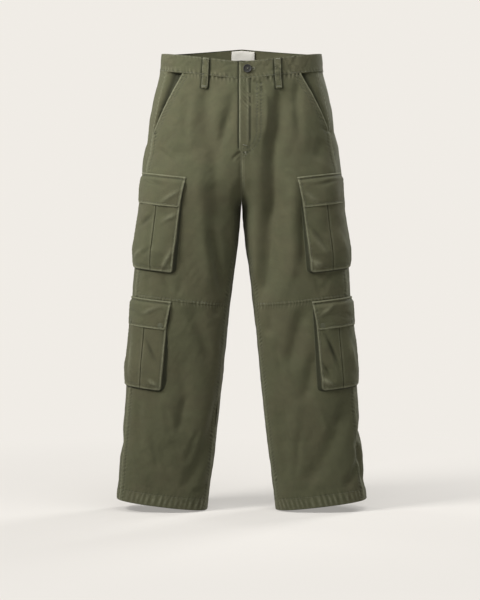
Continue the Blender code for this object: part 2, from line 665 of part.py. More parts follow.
def gusset_path(pocket):
    """Places along the pocket's front, foot and back edges: (across, drop, outward across, outward drop)."""
    edge = pocket.half_width + GUSSET_CLOTH + SEAM_GAP
    end = pocket.end_drop + GUSSET_CLOTH + SEAM_GAP
    radius, diagonal = CORNER_RADIUS, cos(pi / 4)
    drops = [*face_drops(pocket)[:-2], end - radius]
    corner = (edge - radius + radius * diagonal, end - radius + radius * diagonal)
    feet = [radius - edge, *[pocket.half_width * place for place in STATIONS[1:-1]], edge - radius]
    path = [(-edge, drop, -1.0, 0.0) for drop in drops]
    path.append((-corner[0], corner[1], -diagonal, diagonal))
    path += [(across, end, 0.0, 1.0) for across in feet]
    path.append((corner[0], corner[1], diagonal, diagonal))
    return path + [(edge, drop, 1.0, 0.0) for drop in reversed(drops)]


def make_pocket_gusset(pocket, side, material):
    """The bellows strip between the leg and the edge of the face, open at the pocket's mouth."""
    outer, inner = [], []
    for across, drop, toward_side, toward_foot in gusset_path(pocket):
        splay = MM * along(pocket.splay, pocket_share(pocket, drop))
        height = pocket_depth(pocket, drop) + POCKET_CLOTH
        for grid, inset in ((outer, 0.0), (inner, GUSSET_CLOTH)):
            row = []
            for share in (0.0, 0.5, 1.0):
                beyond = (1 - share) * splay * (1 + 0.25 * share) - inset
                below = (1 - share) * splay * FOOT_SPLAY_BELOW - inset
                out = FOOT_GAP + (height - FOOT_GAP) * share
                row.append(
                    pocket_point(pocket, side, drop + toward_foot * below, across + toward_side * beyond, out)
                )
            grid.append(row)
    return wall(f"pocket_gusset_{pocket.name}_{SIDE_NAMES[side]}", side, outer, inner, material)


def flap_half_width(pocket, drop):
    """From the pleat line to the flap's side: as wide as the gusset's foot at the top, as the face below."""
    share = (drop - pocket.top_drop) / (pocket.flap_end_drop - pocket.top_drop)
    return pocket.half_width + FLAP_TOP_BEYOND + (-FLAP_SIDE_IN - FLAP_TOP_BEYOND) * share


def flap_height(pocket, drop):
    """Height of the flap's inner side: on the leg at its seam, then over the pocket's face."""
    below = drop - pocket.top_drop
    over_face = pocket_depth(pocket, drop) + POCKET_CLOTH + FACE_CROWN + FLAP_CLEAR
    rows = ((0.0, FOOT_GAP), (FLAP_TOP_RIDGE, FOOT_GAP + 0.5 * MM), (0.012, over_face), (1.0, over_face))
    return along(rows, below)


def make_flap(pocket, side, material):
    length = pocket.flap_end_drop - pocket.top_drop
    downs = (0.0, FLAP_TOP_RIDGE, 0.012, 0.5 * length, length - FLAP_CORNER, length)
    outer, inner = [], []
    for down in downs:
        drop = pocket.top_drop + down
        half = flap_half_width(pocket, drop)
        row_out, row_in = [], []
        height = flap_height(pocket, drop)
        corner = FLAP_CORNER if down == length else 0.0
        inside = [pocket.half_width * place for place in STATIONS[1:-1]]
        for across in (corner - half, 0.012 - half, *inside, half - 0.012, half - corner):
            row_out.append(pocket_point(pocket, side, drop, across, height + FLAP_CLOTH))
            row_in.append(pocket_point(pocket, side, drop, across, height))
        outer.append(row_out)
        inner.append(row_in)
    return wall(f"pocket_flap_{pocket.name}_{SIDE_NAMES[side]}", side, outer, inner, material)


def make_snap(pocket, side, end_name, toward, material):
    """A snap fastener's cap on a lower corner of the flap."""
    drop = pocket.flap_end_drop - SNAP_UP
    across = toward * (flap_half_width(pocket, drop) - SNAP_IN)
    height = flap_height(pocket, drop) + FLAP_CLOTH + SEAM_GAP + 0.1 * MM
    frame = cloth_frame(side, drop, pocket_deg(pocket, drop, across), height)
    profile = (
        (0.0, 0.0), (SNAP_RADIUS - 0.7 * MM, 0.0), (SNAP_RADIUS, 0.5 * MM), (SNAP_RADIUS - 0.4 * MM, 1.1 * MM),
        (3.6 * MM, 1.7 * MM), (2.6 * MM, 1.4 * MM), (0.0, 1.3 * MM),
    )
    return turned_piece(f"snap_{end_name}_{SIDE_NAMES[side]}", profile, frame, material, steps=12)


# ==== the whole garment


def main():
    for old in list(bpy.data.objects):
        bpy.data.objects.remove(old, do_unlink=True)
    twill = cloth_material("olive_twill", (0.098, 0.102, 0.054), 0.86)
    facing = cloth_material("facing_twill", (0.085, 0.088, 0.047), 0.88)
    button = cloth_material("dark_button", (0.016, 0.016, 0.017), 0.42)
    snap = cloth_material("painted_snap", (0.070, 0.073, 0.044), 0.45, 0.3)
    label = cloth_material("white_label", (0.78, 0.77, 0.73), 0.80)
    for side in (RIGHT, LEFT):
        make_fronts(side, twill)
        make_back(side, twill)
        make_hip_facing(side, facing)
        for pocket in POCKETS:
            make_pocket_gusset(pocket, side, twill)
            make_pocket_face(pocket, side, twill)
            make_flap(pocket, side, twill)
            if pocket.fastened:
                make_snap(pocket, side, "front", -1, snap)
                make_snap(pocket, side, "back", 1, snap)
    make_waistband(twill)
    for name, (side, deg) in zip(LOOP_NAMES, LOOP_DEGREES):
        make_belt_loop(name, side, deg, twill)
    make_button(button)
    make_label(label)


main()
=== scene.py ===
"""The looks of the cargo pants: every cloth piece as a thin shell on its CAD solid's form, with its folds,
puckers and topstitching, and the button, snaps, label, floor, lights and camera.

Metres, +Z up, front facing -Y. As in the CAD, a place on the cloth is given by its side, its drop (how far
below the waistband seam it lies at the side of the body) and its angle round the leg or half torso: 0 is the
front, 90 the outer side, 180 the back, and -90 or 270 the inner side. Left and right are the wearer's.
"""

from collections import namedtuple
from math import cos, pi, radians, sin

import bpy
import numpy as np
from mathutils import Matrix, Vector


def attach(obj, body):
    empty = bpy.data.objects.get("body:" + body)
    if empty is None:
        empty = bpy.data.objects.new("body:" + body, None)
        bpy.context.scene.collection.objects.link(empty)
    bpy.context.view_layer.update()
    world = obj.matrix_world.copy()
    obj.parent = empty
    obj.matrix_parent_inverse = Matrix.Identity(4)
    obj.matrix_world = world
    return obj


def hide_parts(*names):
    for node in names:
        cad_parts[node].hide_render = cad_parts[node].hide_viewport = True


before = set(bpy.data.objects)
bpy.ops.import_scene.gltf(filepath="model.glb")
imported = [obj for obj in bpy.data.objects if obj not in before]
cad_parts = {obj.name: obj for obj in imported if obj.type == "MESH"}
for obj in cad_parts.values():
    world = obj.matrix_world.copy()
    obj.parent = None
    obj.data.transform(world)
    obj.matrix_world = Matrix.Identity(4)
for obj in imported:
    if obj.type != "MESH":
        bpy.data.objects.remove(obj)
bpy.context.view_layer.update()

LEFT, RIGHT = 1, -1
SIDE_NAMES = {LEFT: "left", RIGHT: "right"}
MM = 0.001

# ==== driving sizes, as in the CAD

BAND_HEIGHT = 42 * MM
BAND_PROUD = 1.0 * MM
HEM_HEIGHT = 30 * MM
HEM_DROP = 1.0147
KNEE_SEAM_DROP = 0.5285
SIDE_SEAM_DEG = 65.0
CROTCH_DROP = 0.294
INSEAM_DEG = -71.0
INSEAM_BLEND = 0.13
SEAM_GAP = 0.3 * MM
SEAM_MEET = 0.1 * MM
SQUARENESS = 0.03

Ring = namedtuple("Ring", "name drop front_dip back_dip outer_x inner_x front_y back_y closing")
RINGS = (
    Ring("waist_top", -BAND_HEIGHT, -0.022, 0.016, 0.1882, 0.0000, -0.094, 0.100, 0),
    Ring("waist_seam", 0.0000, -0.021, 0.013, 0.1920, 0.0000, -0.098, 0.104, 0),
    Ring("high_hip", 0.0520, -0.021, 0.006, 0.2050, 0.0000, -0.106, 0.114, 0),
    Ring("mid_hip", 0.0940, -0.021, 0.000, 0.2147, 0.0000, -0.111, 0.121, 0),
    Ring("full_hip", 0.1370, -0.021, -0.008, 0.2226, 0.0000, -0.113, 0.124, 0),
    Ring("low_hip", 0.1800, -0.022, -0.014, 0.2288, 0.0000, -0.113, 0.123, 0),
    Ring("fork_start", 0.2150, -0.024, -0.020, 0.2332, 0.0000, -0.112, 0.120, -13),
    Ring("fork_upper", 0.2475, -0.025, -0.024, 0.2366, 0.0000, -0.110, 0.115, -34),
    Ring("fork_lower", 0.2720, -0.025, -0.025, 0.2388, 0.0000, -0.108, 0.110, -55),
    Ring("fork_base", 0.2880, -0.025, -0.025, 0.2399, 0.0003, -0.106, 0.107, -75),
    Ring("crotch", CROTCH_DROP, -0.025, -0.025, 0.2405, 0.0008, -0.105, 0.106, -90),
    Ring("upper_thigh", 0.3310, -0.025, -0.025, 0.2431, 0.0038, -0.101, 0.100, -90),
    Ring("mid_thigh", 0.3920, -0.025, -0.025, 0.2483, 0.0104, -0.096, 0.093, -90),
    Ring("low_thigh", 0.4940, -0.025, -0.025, 0.2567, 0.0240, -0.089, 0.085, -90),
    Ring("knee", 0.5420, -0.025, -0.025, 0.2598, 0.0296, -0.087, 0.083, -90),
    Ring("calf", 0.6660, -0.025, -0.025, 0.2692, 0.0421, -0.080, 0.079, -90),
    Ring("shin", 0.7800, -0.025, -0.025, 0.2774, 0.0535, -0.075, 0.078, -90),
    Ring("low_shin", 0.8940, -0.025, -0.025, 0.2878, 0.0665, -0.071, 0.077, -90),
    Ring("hem", HEM_DROP, -0.026, -0.026, 0.2975, 0.0826, -0.068, 0.076, -90),
)

# The fly: how far the cloth lifts, in millimetres, against the distance from the middle.
FLY_DROP, FLY_CLEAR_DROP, FLY_FADE_DROP = 0.164, 0.168, 0.190
LAP_EDGE_X, LAP_UNDER_X = -6 * MM, 30 * MM
LAP_OVER = (
    (-0.006, 3.2), (0.004, 2.6), (0.013, 2.0), (0.0165, 0.9), (0.0195, 0.2), (0.023, 0.7), (0.028, 1.1),
    (0.046, 0.7), (0.058, 0.0),
)
LAP_BELOW = ((-0.020, 0.0), (-0.006, -0.6), (0.0, -1.0), (0.030, -2.0))
BAND_OVER = ((0.0, 1.7), (0.035, 0.0))
BAND_BELOW = ((-0.040, 0.0), (-0.0065, -1.5), (0.0, -1.5), (0.035, -3.2))
BAND_UNDER_DEG = -9.3

# The slanted hip pockets.
MOUTH_TOP_DEG = 42.6
MOUTH_END_DROP = 0.146
FACING_END_DROP = 0.150
FACING_LEAST_DEG = 2.0
GAPE = {LEFT: 7.5 * MM, RIGHT: 13.0 * MM}
# The facing's depth as a share of the gape, from the mouth (0) to the side seam (1).
HOLLOW = {
    LEFT: ((0.0, 1.0), (0.12, 0.85), (0.3, 0.35), (0.6, 0.08), (1.0, 0.0)),
    RIGHT: ((0.0, 1.0), (0.42, 0.85), (0.62, 0.3), (0.75, 0.06), (0.85, -0.06), (1.0, 0.0)),
}

# The cargo pockets. depth is how far the face stands off the leg and splay how far the gusset's foot stands
# beyond the face's edge, both in millimetres against the share of the pocket's height.
Pocket = namedtuple(
    "Pocket", "name top_drop flap_end_drop end_drop front_x pleat_x back_y half_width splay depth fastened"
)
POCKETS = (
    Pocket(
        "upper", 0.2370, 0.3085, 0.4610, (0.1347, 0.1626), (0.1900, 0.2115), (-0.0380, -0.0323), 0.0540,
        ((0.0, 3.0), (0.32, 3.7), (1.0, 9.0)),
        ((0.0, 3.4), (0.32, 4.4), (0.80, 12.0), (0.93, 9.5), (1.0, 5.5)), False,
    ),
    Pocket(
        "lower", 0.5295, 0.5970, 0.7400, (0.1703, 0.1900), (0.2216, 0.2369), (-0.0245, -0.0206), 0.0520,
        ((0.0, 4.0), (0.32, 5.5), (1.0, 11.0)),
        ((0.0, 3.4), (0.32, 4.6), (0.80, 8.5), (0.93, 7.0), (1.0, 4.8)), True,
    ),
)
MOUTH_BELOW_FLAP_TOP = 16 * MM
CORNER_RADIUS = 9 * MM
FOOT_SPLAY_BELOW = 0.4
PLEAT_HALF_FOLD = 9 * MM
FLAP_SIDE_IN = 1.0 * MM
FLAP_TOP_BEYOND = 5.0 * MM

# The belt loops: the path of a loop's inner face, as drop and distance from the cloth in millimetres.
LOOP_WIDTH = 15 * MM
LOOPS = (
    ("front_right", RIGHT, 23.4), ("front_left", LEFT, 23.4), ("side_right", RIGHT, 112.0),
    ("side_left", LEFT, 112.0), ("back", LEFT, 180.0),
)
LOOP_PATH = (
    (-0.0418, 1.4), (-0.0395, 2.6), (-0.0330, 4.3), (-0.0200, 4.7), (-0.0050, 4.5),
    (0.0080, 3.4), (0.0165, 1.8), (0.0215, 0.9), (0.0270, 0.8), (0.0305, 0.8),
)

BUTTON_X, BUTTON_Z, BUTTON_DROP = 13.8 * MM, 4.0 * MM, -24.0 * MM
BUTTONHOLE_X = (11.6 * MM, 28.5 * MM)
SNAP_IN, SNAP_UP = 12.5 * MM, 9.0 * MM
LABEL_WIDTH, LABEL_HEIGHT, LABEL_X, LABEL_DOWN = 56 * MM, 22 * MM, 3.6 * MM, 3 * MM

# ==== sizes of the looks

SHELL = 1.1 * MM  # thickness of one layer of twill
POCKET_SHELL = 0.9 * MM
EDGE_ROLL = 0.7 * MM  # radius of a folded edge
SEAM_STITCH_IN = 11 * MM  # topstitching beside the side seam and the inseam
MOUTH_STITCHES = (7.5 * MM, 15.5 * MM)
KNEE_STITCH_UP = 5 * MM
HEM_STITCH_UP = 27 * MM
HEM_ROPE_UP, HEM_ROPE_PITCH, HEM_ROPE_REACH = 14 * MM, 13 * MM, 12 * MM
STITCH_PITCH = 3.1 * MM
STITCH_LENGTH = 2.5 * MM
THREAD_RADIUS = 0.34 * MM
WEAR_AND_SHADE_RELIEF = 0.6 * MM  # relief at which a ridge is fully worn pale and a dent fully painted in shade
FELL = 0.45 * MM  # how far the strip beside a felled seam stands up
TUCK, TUCK_IN = 1.2 * MM, 2.0 * MM  # how far the panels run up and in under the waistband
LAP_REACH = 80 * MM  # how far the fly's lap shifts a panel's columns
RIB_SCALE, RIB_LEAN = 285.0, radians(63)  # the twill's diagonal ribs

# The fly's J-stitching: its top, where it turns, and each row's x above with its x and height at the foot.
J_TOP_Z, J_TURN_Z = -25 * MM, -138 * MM
J_ROWS = ((35.5 * MM, 5 * MM, -182 * MM), (45.0 * MM, 3 * MM, -192 * MM))
# The fly's bartacks: x, height and direction.
FLY_TACKS = ((8.0 * MM, -174.0 * MM, (1.0, 0.0, -0.25)), (9.0 * MM, -191.0 * MM, (0.2, 0.0, -1.0)))

# The fly's relief: where it ends, the foot above which it fades out, the puckered strip beside the lapped
# edge, and the dent and ridges that run down it as (x, rise in millimetres, width in millimetres).
FLY_RELIEF_X, FLY_RELIEF_Z = 75 * MM, -220 * MM
FLY_FOOT_Z, FLY_FOOT_FADE = -175 * MM, 20 * MM
FLY_STRIP_X, FLY_STRIP_END_X, FLY_STRIP_END_Z = 9 * MM, 20 * MM, -130 * MM
FLY_RIDGES = ((19.6 * MM, -0.60, 2.4), (14.6 * MM, 0.35, 2.6), (-3.8 * MM, 0.55, 2.0))
FLY_WITHIN_DEG = 15  # the lap lies within this angle of the front

# Below the fly the cloth dips into the seam along the middle and is held there.
MIDDLE_SINK, MIDDLE_SINK_DROP, MIDDLE_SINK_WIDTH = 4.5 * MM, 150 * MM, 8 * MM
MIDDLE_HELD, MIDDLE_FADE = 10 * MM, 50 * MM

# The rows of stitches of the waistband, the loops and the pockets.
BAND_STITCHES_UP = (3 * MM, BAND_HEIGHT - 3 * MM)
LOOP_STITCH_IN = 2.6 * MM
FACE_EDGE_STITCH = 4.5 * MM
FACE_FOOT_STITCH = 8.5 * MM
FLAP_STITCH_IN = 5.5 * MM
FLAP_TOP_STITCH = 6.5 * MM

FLAP_TOP = 3.1 * MM  # height of the flap's sewn top over the leg
CORNER_ROUND = 7 * MM  # lower corners of the faces and flaps
BAND_THICK, LOOP_THICK, FLAP_THICK, LABEL_THICK = 2.3 * MM, 1.9 * MM, 1.7 * MM, 0.45 * MM
BUMP_WEAR_AND_SHADE = 7 * MM  # a bump this high is fully worn pale, and a dent this deep fully painted in shade
FACING_WIDTH = 42 * MM
BAND_FINE_REACH = 42 * MM  # how far from the lapped end the band's columns stay close together
LOOP_TACK_DROPS = (-0.0385, 0.0255)
LOOP_END_TAPER = 0.28  # share of its half width by which a loop's lower end narrows
FLAP_OVER_FACE = 2.6 * MM
FLAP_LIFT = 1.2 * MM  # how far an open flap waves

# How far apart the rows of points lie down a piece, and how far in from a piece's edge its columns lie.
FRONT_PITCH, BACK_PITCH, BAND_PITCH, FACE_PITCH, FLAP_PITCH = 2.7 * MM, 3.0 * MM, 1.7 * MM, 2.6 * MM, 2.0 * MM
EDGE_STEPS = np.array([0.0, 0.15, 0.4, 0.75, 1.2, 1.9, 2.9, 4.2, 5.8, 7.6, 9.6, 11.8]) * MM

# The main folds of the CAD, each a soft trough, or a ridge with a negative depth. x is the distance from
# the middle, and every size is in metres.
Fold = namedtuple("Fold", "name side face top_drop top_x mid_drop mid_x end_drop end_x half_width depth")
FOLDS = (
    Fold("left_thigh", LEFT, "front", 0.040, 0.085, 0.170, 0.067, 0.400, 0.061, 0.012, 0.0060),
    Fold("left_thigh_ridge", LEFT, "front", 0.080, 0.103, 0.190, 0.092, 0.330, 0.088, 0.014, -0.0025),
    Fold("right_thigh", RIGHT, "front", 0.045, 0.090, 0.120, 0.097, 0.220, 0.090, 0.013, 0.0035),
    Fold("right_fork", RIGHT, "front", 0.060, 0.027, 0.110, 0.033, 0.190, 0.044, 0.014, 0.0030),
    Fold("left_seat", LEFT, "back", 0.210, 0.070, 0.320, 0.095, 0.460, 0.125, 0.034, 0.0040),
    Fold("right_seat", RIGHT, "back", 0.220, 0.080, 0.340, 0.100, 0.460, 0.135, 0.034, 0.0040),
)

# The creases, in millimetres, by the side that they are seen from. A line's places are (across, height) from
# the top down: across is x from the front and the back, and y from the left and the right. A crease fades
# towards both ends. depth is negative for a ridge, and lean is how many times wider the crease is on the side
# that lies further round towards the back.
Crease = namedtuple("Crease", "line half_width depth lean", defaults=(1.0,))
CREASES = {
    "front": (
        # the wearer's right hip and thigh
        Crease(((-84, -22), (-82, -93), (-74, -163), (-62, -214), (-57, -285)), 17, 7.8),
        Crease(((-19, -36), (-26, -90), (-38, -130), (-52, -190)), 12, 4.4),
        Crease(((-55, -250), (-59, -314), (-66, -372)), 22, 5.9),
        Crease(((-74, -350), (-64, -410), (-54, -465), (-40, -540)), 15, 9.8),
        Crease(((-19, -240), (-24, -340), (-26, -440)), 14, -3.9),
        Crease(((-111, -230), (-95, -302), (-88, -384), (-81, -447), (-70, -530)), 20, -6.5),
        Crease(((-127, -40), (-130, -104), (-130, -170)), 11, 2.9),
        Crease(((-200, -176), (-172, -200), (-150, -220)), 6, 2.3),
        Crease(((-222, -474), (-217, -530)), 8, 2.6),
        Crease(((-186, -466), (-166, -522)), 9, 2.6),
        Crease(((-138, -480), (-150, -528)), 9, 2.6),
        # the wearer's left hip and thigh
        Crease(((92, -26), (85, -93), (78, -163), (76, -232), (75, -302), (68, -395), (60, -465),
                (42, -548)), 14, 13, 2.0),
        Crease(((62, -290), (54, -380), (48, -450), (36, -540)), 13, 8.5),
        Crease(((55, -44), (57, -150)), 7, -2.9),
        Crease(((137, -12), (129, -58), (129, -104), (137, -170)), 11, 5.2),
        Crease(((115, -240), (120, -337), (122, -419), (114, -510)), 15, -5.9),
        Crease(((141, -290), (143, -395), (147, -466)), 8, 3.6),
        Crease(((190, -155), (177, -215)), 14, 3.1),
        Crease(((180, -131), (214, -147)), 5, 1.8),
        Crease(((100, -228), (134, -252)), 6, -1.8),
        Crease(((34, -186), (36, -302), (34, -395), (38, -508)), 14, -3.6),
        Crease(((166, -462), (192, -526)), 9, 2.6),
        Crease(((212, -464), (190, -522)), 9, 2.2),
        # the crumpled foot of the band between the fly and the wearer's left loop
        Crease(((25, -22), (46, -36)), 4.5, 2.6),
        Crease(((45, -18), (53, -56)), 4.5, 2.2),
        Crease(((58, -13), (76, -34)), 4.5, 2.4),
        Crease(((80, -15), (89, -34)), 4.0, 1.5),
        Crease(((5, -38), (14, -54), (28, -60)), 3.6, 2.6),
        Crease(((6, -60), (16, -78), (29, -84)), 3.6, 2.2),
        Crease(((27, -36), (31, -60), (29, -92)), 4.0, 1.2),
        # the waistband
        Crease(((104, 30), (112, 12), (124, 4)), 5, 1.6),
        Crease(((122, 32), (128, 14)), 5, 1.3),
        Crease(((-186, 18), (-176, 10), (-160, 4)), 5, 1.8),
        Crease(((-120, 22), (-126, 6)), 5, 1.2),
        Crease(((-60, 30), (-50, 8)), 6, 1.0),
        Crease(((42, 16), (58, 6)), 4.5, 1.2),
        # the foot of the fly
        Crease(((-2, -188), (-24, -209)), 4.0, 2.2),
        Crease(((-2, -201), (-15, -214)), 3.0, 1.2),
        # the wearer's right knee and shin
        Crease(((-119, -540), (-109, -582), (-92, -625), (-83, -658), (-71, -702)), 15.6, 5.8),
        Crease(((-44, -540), (-66, -574)), 10.8, 5.2),
        Crease(((-145, -645), (-137, -737), (-132, -808), (-137, -875)), 21.6, 5.1),
        Crease(((-55, -765), (-69, -832), (-83, -879), (-102, -927), (-127, -967),
                (-152, -995)), 16.8, 6.2),
        Crease(((-180, -750), (-174, -820), (-172, -888)), 21.6, -4.5),
        Crease(((-196, -880), (-178, -940), (-158, -992)), 15, 3.4),
        Crease(((-267, -880), (-242, -927), (-217, -984)), 9.6, -3),
        Crease(((-82, -977), (-118, -995)), 6, 3),
        Crease(((-244, -765), (-242, -832), (-236, -892)), 12, 3.3),
        Crease(((-184, -772), (-167, -867)), 9, 2.8),
        Crease(((-130, -752), (-153, -862)), 9, 3.0),
        Crease(((-214, -844), (-196, -950)), 8, 2.6),
        Crease(((-100, -838), (-134, -930)), 9, 3.0),
        # the wearer's left knee and shin
        Crease(((154, -538), (141, -578), (129, -618), (120, -658), (112, -708)), 16.8, 8.9, 1.4),
        Crease(((72, -542), (66, -582), (61, -624)), 15.6, 4.7),
        Crease(((172, -648), (164, -701), (155, -744), (147, -784)), 14.4, 5.8),
        Crease(((255, -760), (241, -808), (223, -848), (209, -886), (188, -922), (164, -955),
                (140, -986)), 20.4, 6.4),
        Crease(((283, -895), (272, -934), (258, -962), (239, -988)), 12, 6.4),
        Crease(((86, -765), (92, -844), (101, -915), (109, -970)), 14.4, 4.1),
        Crease(((129, -765), (129, -875)), 14.4, -2.8),
        Crease(((97, -772), (113, -891)), 8, 2.6),
        Crease(((138, -830), (127, -962)), 9, 3.0),
        Crease(((178, -772), (206, -862)), 9, -2.8),
        Crease(((78, -642), (97, -725)), 8, 3.2),
        Crease(((242, -765), (222, -842)), 8, 3.0),
    ),
    "left": (
        # the outer side
        Crease(((40, -60), (10, -120), (-20, -170)), 16, 10.7),
        Crease(((55, -180), (40, -240), (38, -300)), 17, 12.7),
        Crease(((60, -300), (30, -352), (-5, -380)), 14, 10.7),
        Crease(((62, -440), (36, -490), (0, -522)), 13, 15.3),
        Crease(((40, -500), (66, -520)), 12, -8.3),
        Crease(((55, -600), (34, -660), (28, -740)), 16, 12),
        Crease(((50, -780), (10, -840), (-30, -880)), 17, 14),
        Crease(((60, -900), (30, -950), (-10, -985)), 13, 13.3),
        Crease(((-40, -860), (-20, -930), (-26, -985)), 12, 9.9),
    ),
    "right": (
        Crease(((46, -70), (16, -130), (-14, -186)), 16, 8.6),
        Crease(((50, -200), (44, -262), (30, -330)), 16, 8.2),
        Crease(((64, -330), (36, -372), (6, -400)), 14, 9.2),
        Crease(((66, -455), (40, -500), (10, -530)), 14, 10.8),
        Crease(((52, -620), (36, -690), (30, -760)), 16, 8.6),
        Crease(((56, -800), (20, -850), (-20, -905)), 17, 10.8),
        Crease(((64, -915), (36, -958), (4, -990)), 13, 9.8),
    ),
    "back": (
        # the back: from the fork outward, under the seat, behind the knees and above the hems
        Crease(((30, -235), (62, -300), (104, -372), (138, -440)), 16, 11.0),
        Crease(((14, -262), (30, -330), (44, -410), (50, -470)), 12, 8.0),
        Crease(((70, -110), (62, -180), (76, -250)), 18, 7.5),
        Crease(((128, -50), (122, -130), (136, -215), (158, -290)), 18, 8.5),
        Crease(((196, -300), (176, -372), (150, -430), (118, -486)), 17, 9.5),
        Crease(((214, -470), (170, -500), (120, -514)), 12, 9.0),
        Crease(((60, -505), (104, -536), (150, -566), (206, -580)), 14, 10.0, 1.4),
        Crease(((74, -588), (120, -604), (162, -640)), 12, 8.0),
        Crease(((206, -605), (190, -690), (198, -770)), 18, 8.0),
        Crease(((104, -650), (112, -740), (140, -830), (158, -900)), 17, 11.0),
        Crease(((232, -800), (214, -880), (180, -955)), 15, 9.5),
        Crease(((120, -905), (140, -955), (176, -990)), 12, 7.0),
        Crease(((150, -640), (154, -720), (176, -790)), 15, -4.0),
        Crease(((-26, -238), (-72, -292), (-130, -334), (-176, -350)), 15, 10.5),
        Crease(((-18, -290), (-40, -362), (-62, -446)), 14, 9.5),
        Crease(((-58, -105), (-72, -190), (-50, -252)), 18, 8.5),
        Crease(((-140, -70), (-132, -160), (-146, -250), (-178, -330)), 18, 9.0),
        Crease(((-204, -362), (-170, -424), (-122, -466)), 16, 9.5),
        Crease(((-218, -500), (-170, -526), (-112, -522)), 12, 9.5),
        Crease(((-58, -542), (-110, -562), (-150, -600), (-198, -648)), 14, 10.5, 1.4),
        Crease(((-72, -480), (-114, -492)), 10, 5.0),
        Crease(((-86, -640), (-104, -740), (-96, -830)), 17, 9.5),
        Crease(((-224, -700), (-198, -790), (-162, -870), (-132, -944)), 18, 11.0),
        Crease(((-242, -860), (-224, -930), (-206, -985)), 12, 8.0),
        Crease(((-100, -900), (-130, -960), (-180, -990)), 12, 7.5),
        Crease(((-140, -690), (-150, -780), (-128, -850)), 15, -4.0),
    ),
}


# ==== the form of the garment, as in the CAD


def table_slopes(column):
    """Slopes at each ring that keep the curve through a column free of overshoot."""
    drops = [ring.drop for ring in RINGS]
    values = [getattr(ring, column) for ring in RINGS]
    steps = [b - a for a, b in zip(drops, drops[1:])]
    chords = [(b - a) / step for a, b, step in zip(values, values[1:], steps)]
    slopes = [chords[0]]
    for before, after, step_before, step_after in zip(chords, chords[1:], steps, steps[1:]):
        if before * after <= 0:
            slopes.append(0.0)
            continue
        weight_before = 2 * step_after + step_before
        weight_after = step_after + 2 * step_before
        slopes.append((weight_before + weight_after) / (weight_before / before + weight_after / after))
    slopes.append(chords[-1])
    return np.array(slopes)


RING_DROPS = np.array([ring.drop for ring in RINGS])
COLUMNS = {
    name: (np.array([getattr(ring, name) for ring in RINGS], float), table_slopes(name))
    for name in Ring._fields[2:]
}


def ring_value(column, drop):
    """A column of RINGS at any drops, on a smooth curve through the rows."""
    values, slopes = COLUMNS[column]
    drop = np.clip(drop, RING_DROPS[0], RING_DROPS[-1])
    i = np.clip(np.searchsorted(RING_DROPS, drop, side="right") - 1, 0, len(RINGS) - 2)
    step = RING_DROPS[i + 1] - RING_DROPS[i]
    t = (drop - RING_DROPS[i]) / step
    value = (1 + 2 * t) * (1 - t) ** 2 * values[i] + t * t * (3 - 2 * t) * values[i + 1]
    return value + step * (t * (1 - t) ** 2 * slopes[i] + t * t * (t - 1) * slopes[i + 1])


def along(rows, at):
    """Straight-line reading of a short table of (place, value) rows."""
    places, values = zip(*rows)
    return np.interp(at, places, values)


def ease(t):
    t = np.clip(t, 0.0, 1.0)
    return t * t * (3 - 2 * t)


def round_sin(angle):
    return (np.sin(angle) + SQUARENESS * np.sin(3 * angle)) / (1 - SQUARENESS)


def round_cos(angle):
    return (np.cos(angle) - SQUARENESS * np.cos(3 * angle)) / (1 - SQUARENESS)


def ring_point(drop, deg):
    """Points of the left half's form in the CAD, before folds."""
    drop, deg = np.broadcast_arrays(np.asarray(drop, float), np.asarray(deg, float))
    angle = np.radians(deg)
    closing = np.radians(ring_value("closing", drop))
    outer, inner = ring_value("outer_x", drop), ring_value("inner_x", drop)
    half_width = (outer - inner) / (1 - round_sin(closing))
    front, back = ring_value("front_y", drop), ring_value("back_y", drop)
    x = inner + half_width * (round_sin(angle) - round_sin(closing))
    y = (back + front) / 2 - (back - front) / 2 * round_cos(angle)
    share = np.clip((outer - np.abs(x)) / (outer - inner), 0.0, 1.0)
    dip = np.where(np.cos(angle) > 0, ring_value("front_dip", drop), ring_value("back_dip", drop))
    return np.stack([x, y, share * dip - drop], axis=-1)


def ring_depth(drop, x, ahead):
    """Depth of the CAD's form at a place across, on the front (ahead is 1) or on the back (-1)."""
    closing = round_sin(np.radians(ring_value("closing", drop)))
    outer, inner = ring_value("outer_x", drop), ring_value("inner_x", drop)
    reach = np.clip((x - inner) / (outer - inner) * (1 - closing) + closing, -1, 1)
    angle = np.arcsin(reach)
    for _ in range(3):
        angle = np.arcsin(np.clip((1 - SQUARENESS) * reach - SQUARENESS * np.sin(3 * angle), -1, 1))
    front, back = ring_value("front_y", drop), ring_value("back_y", drop)
    return (back + front) / 2 - ahead * (back - front) / 2 * round_cos(angle)


# Where the legs part, the form's depth is evened out over a few rows: (shift in drop, weight).
FORK_ROWS = (
    (-0.036, 0.06), (-0.024, 0.12), (-0.012, 0.20), (0.0, 0.24), (0.012, 0.20), (0.024, 0.12), (0.036, 0.06),
)
FORK_REACH, FORK_FADE = 0.12, 0.05  # how far above and below the crotch, and over what drop it fades
FORK_INNER_FADE, FORK_OUTER_X, FORK_OUTER_FADE = 0.022, 0.22, 0.06  # the same across


def form_point(drop, deg):
    """Points of the left half's smooth form, before folds, evened out where the legs part."""
    drop, deg = np.broadcast_arrays(np.asarray(drop, float), np.asarray(deg, float))
    points = ring_point(drop, deg)
    near = np.abs(drop - CROTCH_DROP) < FORK_REACH
    if near.any():
        rows, x = drop[near], points[near][:, 0]
        ahead = np.where(np.cos(np.radians(deg[near])) > 0, 1.0, -1.0)
        evened = sum(weight * ring_depth(rows + shift, x, ahead) for shift, weight in FORK_ROWS)
        share = ease((FORK_REACH - np.abs(rows - CROTCH_DROP)) / FORK_FADE)
        share = share * ease((x - ring_value("inner_x", rows)) / FORK_INNER_FADE)
        share = share * ease((FORK_OUTER_X - x) / FORK_OUTER_FADE)
        points[near, 1] += (evened - points[near, 1]) * share
    return points


